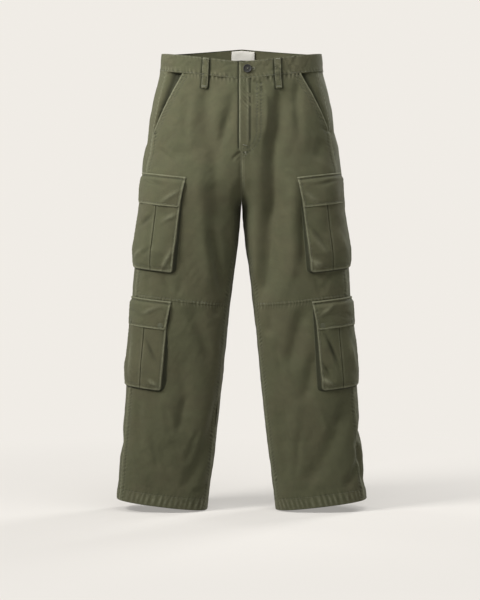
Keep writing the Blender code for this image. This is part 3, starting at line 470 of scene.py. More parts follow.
def unit(vectors):
    return vectors / np.maximum(np.linalg.norm(vectors, axis=-1, keepdims=True), 1e-12)


def form_normal(drop, deg):
    """Outward directions of the left half's form."""
    above, below = np.maximum(drop - 0.002, RING_DROPS[0]), np.minimum(drop + 0.002, HEM_DROP)
    down = form_point(below, deg) - form_point(above, deg)
    around = form_point(drop, deg + 0.5) - form_point(drop, deg - 0.5)
    return unit(-np.cross(around, down))


def deg_where(drop, axis, place, low=-40.0, high=90.0):
    """The angles, from the inner front to the outer side, at which the form's x or y has a given value."""
    low, high = np.zeros_like(drop) + low, np.zeros_like(drop) + high
    for _ in range(30):
        middle = (low + high) / 2
        short = form_point(drop, middle)[..., axis] < place
        low, high = np.where(short, middle, low), np.where(short, high, middle)
    return (low + high) / 2


# Lengths round the cloth, read from a table of the form: 0 on the outer side line, negative towards the
# front and positive towards the back.
ARC_DROPS = np.linspace(-BAND_HEIGHT, HEM_DROP, 213)
ARC_DEGREES = np.arange(-100.0, 301.0)


def arc_table():
    points = form_point(ARC_DROPS[:, None], ARC_DEGREES[None, :])
    steps = np.linalg.norm(np.diff(points, axis=1), axis=2)
    lengths = np.concatenate([np.zeros((len(ARC_DROPS), 1)), np.cumsum(steps, axis=1)], axis=1)
    return lengths - lengths[:, ARC_DEGREES == 90.0]


ARC = arc_table()


def arc(drop, deg):
    """Metres round the cloth from the outer side line to each place."""
    row = (np.clip(drop, ARC_DROPS[0], ARC_DROPS[-1]) - ARC_DROPS[0]) / (ARC_DROPS[1] - ARC_DROPS[0])
    column = np.clip(deg, ARC_DEGREES[0], ARC_DEGREES[-1]) - ARC_DEGREES[0]
    i = np.minimum(row.astype(int), len(ARC_DROPS) - 2)
    j = np.minimum(column.astype(int), len(ARC_DEGREES) - 2)
    s, t = row - i, column - j
    top = ARC[i, j] * (1 - t) + ARC[i, j + 1] * t
    bottom = ARC[i + 1, j] * (1 - t) + ARC[i + 1, j + 1] * t
    return top * (1 - s) + bottom * s


def deg_at(drop, length):
    """The angles at given lengths round the cloth from the outer side line."""
    drop, length = np.broadcast_arrays(drop, length)
    low, high = np.full(drop.shape, ARC_DEGREES[0]), np.full(drop.shape, ARC_DEGREES[-1])
    for _ in range(26):
        middle = (low + high) / 2
        short = arc(drop, middle) < length
        low, high = np.where(short, middle, low), np.where(short, high, middle)
    return (low + high) / 2


# ==== unevenness, folds and creases


def noise(u, v, size, seed):
    """Smooth unevenness from -1 to 1, with bumps of about a given size."""
    lattice = np.random.default_rng(seed).uniform(-1, 1, (64, 64))
    a, b = np.asarray(u) / size + 17.3, np.asarray(v) / size + 9.1
    i, j = np.floor(a).astype(int), np.floor(b).astype(int)
    s, t = ease(a - i), ease(b - j)
    i, j, k, m = i % 64, j % 64, (i + 1) % 64, (j + 1) % 64
    top = lattice[i, j] * (1 - t) + lattice[i, m] * t
    bottom = lattice[k, j] * (1 - t) + lattice[k, m] * t
    return top * (1 - s) + bottom * s


def puckers(aside, at, period, slant, reach, seed):
    """Uneven ripples across a line of stitches, about 1 high: aside is the distance from the line, and at
    the place along it, in metres. slant leans them and reach is how far they run out."""
    at = at + slant * aside
    at = at + 0.45 * period * noise(at, 0.0, 2.6 * period, seed)
    height = 0.3 + 0.7 * (0.5 + 0.5 * noise(at, 0.3, 2.1 * period, seed + 1))
    return np.sin(2 * pi * at / period) * height * groove(aside, reach)


def groove(aside, width):
    """A narrow dent along a line, 1 deep at its middle."""
    return np.exp(-((aside / width) ** 2))


# How a row of stitches puckers the cloth, in millimetres apart from slant. dent is how far the row sinks in
# and width how wide the dent is.
Row = namedtuple("Row", "ripple period slant reach dent width", defaults=(0.0, 1.0))
INSEAM_ROW = Row(0.52, 8, 0.5, 6, 0.35, 1.3)
SIDE_ROW = Row(0.46, 8, 0.5, 6, 0.35, 1.3)
MOUTH_ROW = Row(0.38, 8, 0.6, 4, 0.40, 1.1)
WAIST_ROW = Row(0.40, 9, 0.3, 9)
KNEE_ROW = Row(0.40, 8, 0.3, 6)
HEM_ROW = Row(0.25, 8, 0.4, 6, 0.35, 1.3)
FLY_ROW = Row(0.40, 7.5, 0.7, 4.5, 0.40, 1.3)
FLY_EDGE_ROW = Row(0.34, 8, 1.1, 9)
SEAT_ROW = Row(0.24, 9, 0.5, 8)
BACK_SIDE_ROW = Row(0.35, 9, 0.5, 8)
BACK_WAIST_ROW = Row(0.32, 9, 0.5, 9)
FACING_ROW = Row(0.25, 11, 0.5, 9)
BAND_FOOT_ROW = Row(0.40, 10, 0.3, 6)
BAND_TOP_ROW = Row(0.30, 10, 0.3, 6)
LOOP_ROW = Row(0.35, 6, 0.6, 3)
FACE_EDGE_ROW = Row(0.35, 9, 0.7, 5, 0.45, 1.2)
FACE_FOOT_ROW = Row(0.35, 10, 0.4, 7, 0.35, 1.1)
FLAP_TOP_ROW = Row(0.45, 9, 0.4, 6, 1.00, 1.8)
FLAP_FOOT_ROW = Row(0.38, 9, 0.5, 6)
FLAP_SIDE_ROW = Row(0.35, 9, 0.5, 6)


def stitched(row, aside, at, seed):
    """Relief along a row of stitches, where aside is the distance from it and at the place along it."""
    ripple = row.ripple * puckers(aside, at, row.period * MM, row.slant, row.reach * MM, seed)
    return MM * (ripple - row.dent * groove(aside, row.width * MM))


def edge_roll(inside, radius=EDGE_ROLL):
    """How far a folded edge has turned down, where inside is the distance from the edge."""
    t = np.clip(1 - inside / radius, 0.0, 1.0)
    return radius * (1 - np.sqrt(1 - t * t))


def fold_depth(side, drop, deg, x):
    """How far the CAD's folds pull the cloth in."""
    total = np.zeros(np.shape(x))
    in_front = np.cos(np.radians(deg)) > 0
    for fold in FOLDS:
        if fold.side != side:
            continue
        line = ((fold.top_drop, fold.top_x), (fold.mid_drop, fold.mid_x), (fold.end_drop, fold.end_x))
        aside = np.clip((x - along(line, drop)) / fold.half_width, -2, 2)
        rows = ((fold.top_drop, 0.0), (fold.mid_drop, 1.0), (fold.end_drop, 0.0))
        depth = fold.depth * ease(along(rows, drop)) * (0.5 + 0.5 * np.cos(pi * aside / 2))
        total += np.where(in_front == (fold.face == "front"), depth, 0.0)
    return total


def locate(view, across, height):
    """The side, drop and angle of a place given in millimetres from one of the four views."""
    across, height = across * MM, height * MM
    side = {"left": LEFT, "right": RIGHT}.get(view, LEFT if across > 0 else RIGHT)
    low, high = {"front": (-90, 90), "back": (90, 270)}.get(view, (0, 180))
    drop = -height
    for _ in range(4):
        a, b = float(low), float(high)
        for _ in range(26):
            middle = (a + b) / 2
            point = form_point(drop, middle)
            if view == "front":
                short = point[0] < abs(across)
            elif view == "back":
                short = point[0] > abs(across)
            else:
                short = point[1] < across
            a, b = (middle, b) if short else (a, middle)
        drop = -height + form_point(drop, a)[2] + drop
    return side, float(drop), a


def located_creases():
    """CREASES as (side, places as (length round, drop), half width, depth, lean), in metres."""
    found = []
    for view, creases in CREASES.items():
        for crease in creases:
            places = [locate(view, *place) for place in crease.line]
            line = np.array([(float(arc(np.array(drop), np.array(deg))), drop) for _, drop, deg in places])
            found.append((places[0][0], line, crease.half_width * MM, crease.depth * MM, crease.lean))
    return found


LOCATED = located_creases()
CREASE_FADE_SHARE, CREASE_FADE_MOST = 0.32, 60 * MM  # the length over which a crease fades in and out
CREASE_END_SHARE = 0.12  # how far the fading has come at a crease's very end
CREASE_WIDTHS = 2.4  # half widths beyond which a crease isn't felt
FAR_AWAY = 9.0  # metres, beyond every distance on the cloth


def crease_depth(side, drop, length):
    """How far the creases pull the cloth in, at places given by drop and length round."""
    total = np.zeros(np.shape(drop))
    place = np.stack([length, drop], axis=-1)
    for crease_side, line, half_width, depth, lean in LOCATED:
        reach = CREASE_WIDTHS * half_width * max(lean, 1.0)
        within = (place > line.min(axis=0) - reach) & (place < line.max(axis=0) + reach)
        near = within.all(axis=-1) & (crease_side == side)
        if not near.any():
            continue
        here = place[near]
        steps = np.linalg.norm(np.diff(line, axis=0), axis=1)
        starts = np.concatenate([[0.0], np.cumsum(steps)])
        best = np.full(len(here), FAR_AWAY)
        passed, beyond = np.zeros(len(here)), np.zeros(len(here), bool)
        for start, end, before, step in zip(line, line[1:], starts, steps):
            t = np.clip((here - start) @ (end - start) / step**2, 0, 1)
            off = here - start - t[:, None] * (end - start)
            away = np.linalg.norm(off, axis=1)
            nearer = away < best
            best = np.where(nearer, away, best)
            passed = np.where(nearer, before + t * step, passed)
            beyond = np.where(nearer, off[:, 0] > 0, beyond)
        fading = min(CREASE_FADE_SHARE * starts[-1], CREASE_FADE_MOST)
        fade = ease(passed / fading + CREASE_END_SHARE)
        fade *= ease((starts[-1] - passed) / fading + CREASE_END_SHARE)
        total[near] += depth * fade * groove(best, half_width * np.where(beyond, lean, 1.0))
    return total


def drape(side, drop, deg):
    """How far the cloth's folds, creases and unevenness move it out, shared by all that lies there."""
    x = form_point(drop, deg)[..., 0]
    length = arc(drop, deg)
    seed = 3 if side == LEFT else 40
    soft = 0.8 * MM * noise(length, drop, 0.055, seed) + 0.4 * MM * noise(length, drop, 0.019, seed + 1)
    soft += 0.9 * MM * np.abs(noise(length + 0.4 * drop, 0.6 * drop, 0.034, seed + 2))
    soft += 0.65 * MM * np.abs(noise(length - 0.5 * drop, 0.7 * drop, 0.016, seed + 3))
    return soft - fold_depth(side, drop, deg, x) - crease_depth(side, drop, length)


def cloth_point(side, drop, deg, out, level=False):
    """Points at a distance out from the smooth form, along its normal or level with the ground."""
    points = form_point(drop, deg)
    normals = form_normal(drop, deg)
    if level:
        normals = unit(normals * (1.0, 1.0, 0.0))
    points = points + normals * np.asarray(out)[..., None]
    return points * (side, 1.0, 1.0)


def cloth_frame(side, drop, deg, out):
    """A frame on the cloth: Z points outward and Y up along the cloth."""
    place = Vector(cloth_point(side, np.array(drop), np.array(deg), out))
    outward = Vector(form_normal(np.array(drop), np.array(deg)) * (side, 1, 1))
    above = Vector(cloth_point(side, np.array(drop - 0.002), np.array(deg), out))
    below = Vector(cloth_point(side, np.array(drop + 0.002), np.array(deg), out))
    across = (above - below).cross(outward).normalized()
    up = outward.cross(across)
    matrix = Matrix((across, up, outward)).transposed().to_4x4()
    matrix.translation = place
    return matrix


# ==== materials


def new_material(name, roughness, **constants):
    material = bpy.data.materials.new(name)
    material.use_nodes = True
    tree = material.node_tree
    shader = tree.nodes["Principled BSDF"]
    shader.inputs["Roughness"].default_value = roughness
    for socket, value in constants.items():
        shader.inputs[socket.replace("_", " ").title()].default_value = value
    return material, tree, shader


def node(tree, kind, links=(), **settings):
    """A new node with its settings made and (input, output socket) links joined."""
    made = tree.nodes.new(kind)
    for key, value in settings.items():
        if key in made.inputs:
            made.inputs[key].default_value = value
        else:
            setattr(made, key, value)
    for socket, source in links:
        tree.links.new(source, made.inputs[socket])
    return made


def noise_node(tree, vector, scale, detail=3.0, roughness=0.55):
    sizes = {"Scale": scale, "Detail": detail, "Roughness": roughness}
    return node(tree, "ShaderNodeTexNoise", [("Vector", vector)], **sizes).outputs["Fac"]


def blend_colours(tree, share, first, second):
    """A mix of two colours, each a colour or a socket."""
    mix = node(tree, "ShaderNodeMix", data_type="RGBA")
    tree.links.new(share, mix.inputs[0])
    for socket, value in ((mix.inputs[6], first), (mix.inputs[7], second)):
        if isinstance(value, tuple):
            socket.default_value = (*value, 1.0)
        else:
            tree.links.new(value, socket)
    return mix.outputs[2]


def ramp(tree, value, low, high, to_low=0.0, to_high=1.0):
    made = node(tree, "ShaderNodeMapRange", [("Value", value)], interpolation_type="SMOOTHSTEP")
    for socket, number in (("From Min", low), ("From Max", high), ("To Min", to_low), ("To Max", to_high)):
        made.inputs[socket].default_value = number
    return made.outputs["Result"]


def twill_ribs(tree):
    """The weave's diagonal ribs, which follow the cloth's own directions."""
    weave = node(tree, "ShaderNodeUVMap", uv_map="cloth").outputs["UV"]
    cord = node(tree, "ShaderNodeMapping", [("Vector", weave)], Rotation=(0.0, 0.0, RIB_LEAN))
    wave = node(tree, "ShaderNodeTexWave", [("Vector", cord.outputs[0])],
                Scale=RIB_SCALE, Distortion=1.2, Detail=2.0)
    wave.inputs["Detail Scale"].default_value = 2.2
    return wave.outputs["Fac"]


def twill_material(name, green, brown, worn, shaded):
    """Washed cotton twill: mottled between two olives, paler where it is worn, and darkened towards shaded
    where shade is painted into its dents, grooves and hollows.
    """
    material, tree, shader = new_material(name, 0.86, sheen_weight=0.05, sheen_roughness=0.5)
    shader.inputs["Specular IOR Level"].default_value = 0.2
    shader.inputs["Sheen Tint"].default_value = (0.80, 0.82, 0.66, 1.0)
    place = node(tree, "ShaderNodeTexCoord").outputs["Object"]
    wear = node(tree, "ShaderNodeAttribute", attribute_name="wear").outputs["Fac"]
    broad = noise_node(tree, place, 11.0, 4.0, 0.6)
    fine = noise_node(tree, place, 160.0, 5.0, 0.7)
    speck = noise_node(tree, place, 1500.0, 2.0, 0.6)
    colour = blend_colours(tree, ramp(tree, broad, 0.38, 0.62), green, brown)
    worn_share = node(tree, "ShaderNodeMath", [(0, wear), (1, ramp(tree, fine, 0.30, 0.62, 0.55, 1.35))],
                      operation="MULTIPLY", use_clamp=True).outputs[0]
    colour = blend_colours(tree, worn_share, colour, worn)
    # Painted shade: where the attribute is negative the colour is darkened towards shaded.
    colour = blend_colours(tree, ramp(tree, wear, 0.0, -1.0, 0.0, 0.95), colour, shaded)
    ribs = twill_ribs(tree)
    mottle = node(tree, "ShaderNodeMath", [(0, fine), (1, speck)], operation="ADD").outputs[0]
    tone = node(tree, "ShaderNodeMath", [(0, mottle), (1, ribs)], operation="MULTIPLY_ADD").outputs[0]
    tree.links.new(mottle, tone.node.inputs[2])
    patches = ramp(tree, noise_node(tree, place, 42.0, 4.0, 0.65), 0.36, 0.64, 0.955, 1.045)
    value = node(tree, "ShaderNodeMath", [(0, ramp(tree, tone, 0.9, 2.1, 0.84, 1.16)), (1, patches)],
                 operation="MULTIPLY").outputs[0]
    bright = node(tree, "ShaderNodeHueSaturation", [("Color", colour), ("Value", value)])
    tree.links.new(bright.outputs[0], shader.inputs["Base Color"])
    tree.links.new(ramp(tree, fine, 0.3, 0.7, 0.80, 0.93), shader.inputs["Roughness"])
    rib_bump = node(tree, "ShaderNodeBump", [("Height", ribs)], Strength=0.6, Distance=0.0003)
    grain = node(tree, "ShaderNodeBump", [("Height", fine), ("Normal", rib_bump.outputs[0])],
                 Strength=0.5, Distance=0.0011)
    tree.links.new(grain.outputs[0], shader.inputs["Normal"])
    return material


def thread_material(name, colour, darker):
    material, tree, shader = new_material(name, 0.7, sheen_weight=0.2)
    place = node(tree, "ShaderNodeTexCoord").outputs["Object"]
    share = ramp(tree, noise_node(tree, place, 420.0), 0.35, 0.65)
    tree.links.new(blend_colours(tree, share, colour, darker), shader.inputs["Base Color"])
    twist = noise_node(tree, place, 2600.0, 1.0)
    bump = node(tree, "ShaderNodeBump", [("Height", twist)], Strength=0.4, Distance=0.0002)
    tree.links.new(bump.outputs[0], shader.inputs["Normal"])
    return material


def hard_material(name, colour, worn, roughness, metallic=0.0):
    """A moulded or painted surface with faint marks and rubbed high places."""
    material, tree, shader = new_material(name, roughness, metallic=metallic)
    place = node(tree, "ShaderNodeTexCoord").outputs["Object"]
    marks = noise_node(tree, place, 900.0, 5.0, 0.7)
    rubbed = blend_colours(tree, ramp(tree, marks, 0.45, 0.75), colour, worn)
    tree.links.new(rubbed, shader.inputs["Base Color"])
    uneven = ramp(tree, marks, 0.3, 0.7, roughness - 0.08, roughness + 0.12)
    tree.links.new(uneven, shader.inputs["Roughness"])
    bump = node(tree, "ShaderNodeBump", [("Height", marks)], Strength=0.15, Distance=0.0002)
    tree.links.new(bump.outputs[0], shader.inputs["Normal"])
    shader.inputs["Specular IOR Level"].default_value = 0.25
    return material


def label_material():
    """Bare white satin-woven label, its colour greyed well below white as painted shade, as it lies in the
    shade inside the waistband.
    """
    material, tree, shader = new_material("label_satin", 0.6, sheen_weight=0.3)
    weave = node(tree, "ShaderNodeUVMap", uv_map="cloth").outputs["UV"]
    wave = node(tree, "ShaderNodeTexWave", [("Vector", weave)], Scale=420.0, bands_direction="Y")
    ribs = wave.outputs["Fac"]
    # These greys are painted shade on a white label.
    colour = blend_colours(tree, ramp(tree, ribs, 0, 1), (0.37, 0.36, 0.33), (0.47, 0.46, 0.42))
    tree.links.new(colour, shader.inputs["Base Color"])
    bump = node(tree, "ShaderNodeBump", [("Height", ribs)], Strength=0.4, Distance=0.0002)
    tree.links.new(bump.outputs[0], shader.inputs["Normal"])
    return material


TWILL = twill_material(
    "olive_twill", (0.0575, 0.0590, 0.0315), (0.0600, 0.0580, 0.0320),
    (0.112, 0.113, 0.072), (0.019, 0.020, 0.010),
)
FACING_TWILL = twill_material(
    "facing_twill", (0.056, 0.058, 0.031), (0.059, 0.057, 0.031),
    (0.098, 0.099, 0.060), (0.021, 0.022, 0.011),
)
THREAD = thread_material("olive_thread", (0.105, 0.107, 0.065), (0.066, 0.068, 0.038))
BUTTON = hard_material("dark_button", (0.012, 0.012, 0.011), (0.022, 0.022, 0.020), 0.5)
SNAP = hard_material("painted_snap", (0.058, 0.061, 0.036), (0.095, 0.096, 0.064), 0.5, 0.15)
LABEL = label_material()


# ==== mesh building


def mesh_object(name, points, faces, material, uv=None, wear=None):
    """A smooth mesh object that rides with the trousers."""
    mesh = bpy.data.meshes.new(name)
    mesh.from_pydata(points, [], faces)
    mesh.materials.append(material)
    mesh.shade_smooth()
    if uv is not None:
        corners = np.empty(len(mesh.loops), np.int32)
        mesh.loops.foreach_get("vertex_index", corners)
        layer = mesh.uv_layers.new(name="cloth")
        layer.uv.foreach_set("vector", np.asarray(uv, np.float32)[corners].ravel())
    if wear is not None:
        mesh.attributes.new("wear", "FLOAT", "POINT").data.foreach_set("value", np.asarray(wear, np.float32))
    piece = bpy.data.objects.new(name, mesh)
    bpy.context.scene.collection.objects.link(piece)
    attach(piece, "root")
    return piece


def kept(count):
    """Every second row or column, for the coarser inner side, with both ends."""
    return np.unique(np.append(np.arange(0, count, 2), count - 1))


def rim_faces(outer, inner, at):
    """Faces from an edge of the outer grid to the coarser edge of the inner one. at tells, for each inner
    vertex, which outer one it lies under."""
    faces = []
    for i in range(len(at) - 1):
        a, b = at[i], at[i + 1]
        if b - a == 1:
            faces.append((outer[a], outer[b], inner[i + 1], inner[i]))
            continue
        faces.append((inner[i], outer[a], outer[a + 1]))
        faces.append((inner[i], outer[a + 1], inner[i + 1]))
        faces.append((inner[i + 1], outer[a + 1], outer[b]))
    return faces


def grid_quads(numbers):
    """Quads of a grid of vertex numbers."""
    corners = (numbers[:-1, :-1], numbers[:-1, 1:], numbers[1:, 1:], numbers[1:, :-1])
    return np.stack(corners, axis=-1).reshape(-1, 4)


def wear_and_shade_from(relief, extra):
    """From -1, painted shade in dents, to 1, pale wear on ridges, from a grid of seam relief and what is
    added to it.
    """
    return np.clip(relief / WEAR_AND_SHADE_RELIEF + extra, -1.0, 1.0)


def shell(name, outer, inner, mirrored, material, slot, uv, wear):
    """A closed shell between two grids of points with the same rows and columns. The inner side keeps every
    second row and column."""
    rows, columns = outer.shape[:2]
    kept_rows, kept_columns = kept(rows), kept(columns)
    top = np.arange(rows * columns).reshape(rows, columns)
    under = np.arange(len(kept_rows) * len(kept_columns)).reshape(len(kept_rows), -1) + rows * columns
    inside = inner[np.ix_(kept_rows, kept_columns)]
    points = np.concatenate([outer.reshape(-1, 3), inside.reshape(-1, 3)])
    outer_quads, inner_quads = grid_quads(top), grid_quads(under)[:, ::-1]
    rims = rim_faces(top[0], under[0], kept_columns)
    rims += rim_faces(top[:, -1], under[:, -1], kept_rows)
    rims += rim_faces(top[-1, ::-1], under[-1, ::-1], columns - 1 - kept_columns[::-1])
    rims += rim_faces(top[::-1, 0], under[::-1, 0], rows - 1 - kept_rows[::-1])
    faces = [face[::-1] for face in outer_quads.tolist()] + [face[::-1] for face in inner_quads.tolist()]
    faces += rims
    if mirrored:
        faces = [face[::-1] for face in faces]
    uv_all = np.concatenate([uv.reshape(-1, 2), uv[np.ix_(kept_rows, kept_columns)].reshape(-1, 2)])
    wear_and_shade_all = np.append(wear.ravel(), np.zeros(len(points) - wear.size))
    return mesh_object(name, points, faces, material, uv_all, wear_and_shade_all)


def spread_across(start, end, pitch, fine=0.0):
    """Places from start to end, close together at both ends and a pitch apart between, for each row. fine is
    how far from the start the pitch stays halved."""
    start, end = np.atleast_1d(start)[:, None], np.atleast_1d(end)[:, None]
    first = start + EDGE_STEPS
    if fine:
        extra = np.arange(EDGE_STEPS[-1] + pitch / 2, fine, pitch / 2)
        first = np.concatenate([first, start + extra], axis=1)
    middle = end - first[:, -1:] - EDGE_STEPS[-1]
    count = max(int(round(float(middle.max()) / pitch)), 2)
    inside = first[:, -1:] + middle * np.linspace(0, 1, count + 1)[1:-1]
    return np.concatenate([first, inside, end - EDGE_STEPS[::-1]], axis=1)


# ==== stitching


def line_stitches(points, normals):
    """Starts, ends and normals of the stitches along a line of points."""
    steps = np.linalg.norm(np.diff(points, axis=0), axis=1)
    places = np.concatenate([[0.0], np.cumsum(steps)])
    count = int(places[-1] // STITCH_PITCH)
    first = (places[-1] - count * STITCH_PITCH) / 2 + (STITCH_PITCH - STITCH_LENGTH) / 2
    starts = first + STITCH_PITCH * np.arange(count)
    middles, ends = starts + STITCH_LENGTH / 2, starts + STITCH_LENGTH

    def at(values, where):
        return np.stack([np.interp(where, places, values[:, k]) for k in range(3)], axis=1)

    return at(points, starts), at(points, ends), unit(at(normals, middles))


def bar_stitches(centre, normal, direction, length, width, count):
    """The close cross stitches of a bartack."""
    direction = unit(direction)
    across = unit(np.cross(normal, direction))
    shares = np.linspace(-0.5, 0.5, count)[:, None]
    middles = centre + direction * shares * length
    lean = direction * length / count * 0.5
    starts, ends = middles - across * width / 2 - lean, middles + across * width / 2 + lean
    return starts, ends, np.repeat(normal[None, :], count, axis=0)


def stitch_mesh(name, groups):
    """All stitches of one piece, joined: each is a short thread that dips into the cloth at both ends."""
    starts, ends, normals = (np.concatenate([group[k] for group in groups]) for k in range(3))
    direction = unit(ends - starts)
    across = unit(np.cross(direction, normals))
    rings = []
    for share, size, lift in ((0.0, 0.45, -0.55), (0.22, 1.0, 0.25), (0.78, 1.0, 0.25), (1.0, 0.45, -0.55)):
        centre = starts + (ends - starts) * share + normals * THREAD_RADIUS * lift
        aside, up = across * THREAD_RADIUS * size, normals * THREAD_RADIUS * size * 0.9
        rings.append(np.stack([centre - aside, centre + up, centre + aside], axis=1))
    points = np.stack(rings, axis=1).reshape(-1, 3)
    faces = [(0, 1, 2), (11, 10, 9)]
    for ring in range(3):
        for corner in range(3):
            a, b = 3 * ring + corner, 3 * ring + (corner + 1) % 3
            faces.append((b, a, a + 3, b + 3))
    numbers = np.arange(len(starts))[:, None] * 12
    all_faces = []
    for face in faces:
        all_faces += (numbers + np.array(face)[None, :]).tolist()
    return mesh_object(name, points, all_faces, THREAD)


def surface_line(side, drops, degrees, height):
    """Points and normals of a line on a panel, at a height function's distance from the form."""
    out = sum(height(drops, degrees))
    return panel_point(side, drops, degrees, out), form_normal(drops, degrees) * (side, 1, 1)


# ==== front and back panels


def inseam_deg(drop):
    """Where front and back meet on the inner side: the middle of the torso, then the inseam."""
    leg = -90 + (INSEAM_DEG + 90) * ease((drop - CROTCH_DROP) / INSEAM_BLEND)
    return np.where(drop <= CROTCH_DROP, ring_value("closing", drop), leg)


def mouth_deg(drop):
    """The front panel's outer edge: the slanted pocket mouth, then the side seam."""
    return MOUTH_TOP_DEG + (SIDE_SEAM_DEG - MOUTH_TOP_DEG) * np.clip(drop / MOUTH_END_DROP, 0.0, 1.0)


def front_seam_length(drop):
    """Length round to the middle of the torso, then to the inseam."""
    return arc(drop, inseam_deg(drop)) - SEAM_MEET


def even_seam_length(drop):
    """front_seam_length evened out over 90 mm of drop, so that the columns that start there stay upright."""
    shifts = np.arange(-45, 46, 5) * MM
    return np.mean([front_seam_length(np.clip(drop + shift, -TUCK, HEM_DROP)) for shift in shifts], axis=0)


def front_inner_length(side, drop):
    """Length round to the front's inner edge: the lapped fly, then the fork and the inseam."""
    seam = front_seam_length(drop)
    lap_x = LAP_EDGE_X if side == LEFT else -LAP_UNDER_X
    lap = arc(drop, deg_where(np.minimum(drop, FLY_FADE_DROP), 0, lap_x))
    share = np.clip((FLY_CLEAR_DROP - drop) / (FLY_CLEAR_DROP - FLY_DROP), 0.0, 1.0)
    return seam + (lap - seam) * share


def front_outer_length(drop):
    return arc(drop, mouth_deg(drop)) + SEAM_MEET


def fly_lift(side, drop, deg):
    """How far the lapped edge stands over, or the other edge dips under, at the fly."""
    x = side * form_point(drop, deg)[..., 0]
    fade = np.clip((FLY_FADE_DROP - drop) / (FLY_FADE_DROP - FLY_CLEAR_DROP), 0.0, 1.0)
    lift = fade * MM * along(LAP_OVER if side == LEFT else LAP_BELOW, x)
    return np.where(deg > FLY_WITHIN_DEG, 0.0, lift)


def beside_lap(drop, deg):
    """The dent in the right side's cloth just beside the lapped edge, which its relief also paints dark as
    shade.
    """
    beside = form_point(drop, deg)[..., 0] + LAP_EDGE_X
    return np.where(deg < FLY_WITHIN_DEG, 1.3 * MM * groove(beside - 0.8 * MM, 2.2 * MM), 0.0)


def felled(inside, width):
    """The raised strip between a seam and its topstitching."""
    return FELL * ease((width + 0.8 * MM - inside) / (1.6 * MM))


def hem_ripples(up, length, seed):
    """The slanting rope puckers of the hem, and the finer ones at its stitching."""
    middle = up - HEM_ROPE_UP
    rope = 0.42 * MM * puckers(0.0, length + 0.25 * middle, HEM_ROPE_PITCH, 0.0, 1.0, seed)
    return rope * groove(middle, HEM_ROPE_REACH) + stitched(HEM_ROW, up - HEM_STITCH_UP, length, seed + 5)


def j_line(row, count=60):
    """The J-stitching of the fly in front view: straight down, then a quarter turn in to the fly's foot."""
    x, end_x, end_z = J_ROWS[row]
    turn = np.linspace(0, pi / 2, count // 2)
    straight = np.linspace(J_TOP_Z, J_TURN_Z, count // 2, endpoint=False)
    xs = np.concatenate([np.full(len(straight), x), end_x + (x - end_x) * np.cos(turn)])
    zs = np.concatenate([straight, J_TURN_Z + (end_z - J_TURN_Z) * np.sin(turn)])
    return xs, zs


def front_place(xs, zs):
    """Drops and angles on the left front of places given by x and height."""
    drop = -zs
    for _ in range(4):
        deg = deg_where(drop, 0, xs)
        drop = drop + form_point(drop, deg)[..., 2] - zs
    return drop, deg


def distance_to_line(x, z, xs, zs):
    """Distance to a line and place along it, for places in front view."""
    best, at = np.full(np.shape(x), FAR_AWAY), np.zeros(np.shape(x))
    passed = 0.0
    for x0, z0, x1, z1 in zip(xs, zs, xs[1:], zs[1:]):
        step = np.hypot(x1 - x0, z1 - z0)
        t = np.clip(((x - x0) * (x1 - x0) + (z - z0) * (z1 - z0)) / step**2, 0, 1)
        away = np.hypot(x - x0 - t * (x1 - x0), z - z0 - t * (z1 - z0))
        at = np.where(away < best, passed + t * step, at)
        best = np.minimum(best, away)
        passed += step
    return best, at


def fly_relief(drop, deg):
    """The J-stitched fly: puckers along both rows, and the flat strip beside the lapped edge."""
    point = form_point(drop, deg)
    x, z = point[..., 0], point[..., 2]
    near = (x < FLY_RELIEF_X) & (z > FLY_RELIEF_Z)
    total = np.zeros(np.shape(x))
    if not near.any():
        return total
    xn, zn = x[near], z[near]
    relief = np.zeros(len(xn))
    for row, seed in ((0, 61), (1, 64)):
        away, at = distance_to_line(xn, zn, *j_line(row, 30))
        relief += stitched(FLY_ROW, away, at, seed)
    hatch = stitched(FLY_EDGE_ROW, xn - FLY_STRIP_X, zn, 71)
    relief += hatch * ease((FLY_STRIP_END_X - xn) / (4 * MM)) * ease((zn - FLY_STRIP_END_Z) / (50 * MM))
    for ridge_x, rise, width in FLY_RIDGES:
        relief += rise * MM * groove(xn - ridge_x, width * MM) * ease((zn - FLY_FOOT_Z) / FLY_FOOT_FADE)
    total[near] = relief
    return total


def loop_shadow(side, drop, length):
    """Share of 1 on the cloth along both sides of each belt loop, where the loop's shadow is painted."""
    total = np.zeros(np.shape(length))
    for _, loop_side, loop_deg in LOOPS:
        if loop_side != side and loop_deg < 180:
            continue
        away = np.abs(length - arc(drop, np.full(np.shape(drop), loop_deg))) - LOOP_WIDTH / 2
        total += groove(np.maximum(away - 1.0 * MM, 0.0), 2.8 * MM) * ease((0.034 - drop) / 0.006)
    return total


def panel_point(side, drop, deg, out):
    """Points on a panel, which dips into the seam along the middle below the fly."""
    points = cloth_point(side, drop, deg, out)
    aside = form_point(drop, deg)[..., 0] * side
    held = groove(aside, MIDDLE_HELD) * (1 - ease((drop - CROTCH_DROP) / MIDDLE_FADE))
    points[..., 0] += held * (aside - points[..., 0])
    above_fork = 1 - ease((drop - CROTCH_DROP + 0.01) / 0.06)
    deep = MIDDLE_SINK * ease((drop - MIDDLE_SINK_DROP) / MIDDLE_FADE) * above_fork
    sink = deep * groove(points[..., 0], MIDDLE_SINK_WIDTH) * np.sign(np.cos(np.radians(deg)))
    return points + sink[..., None] * (0.0, 1.0, 0.0)


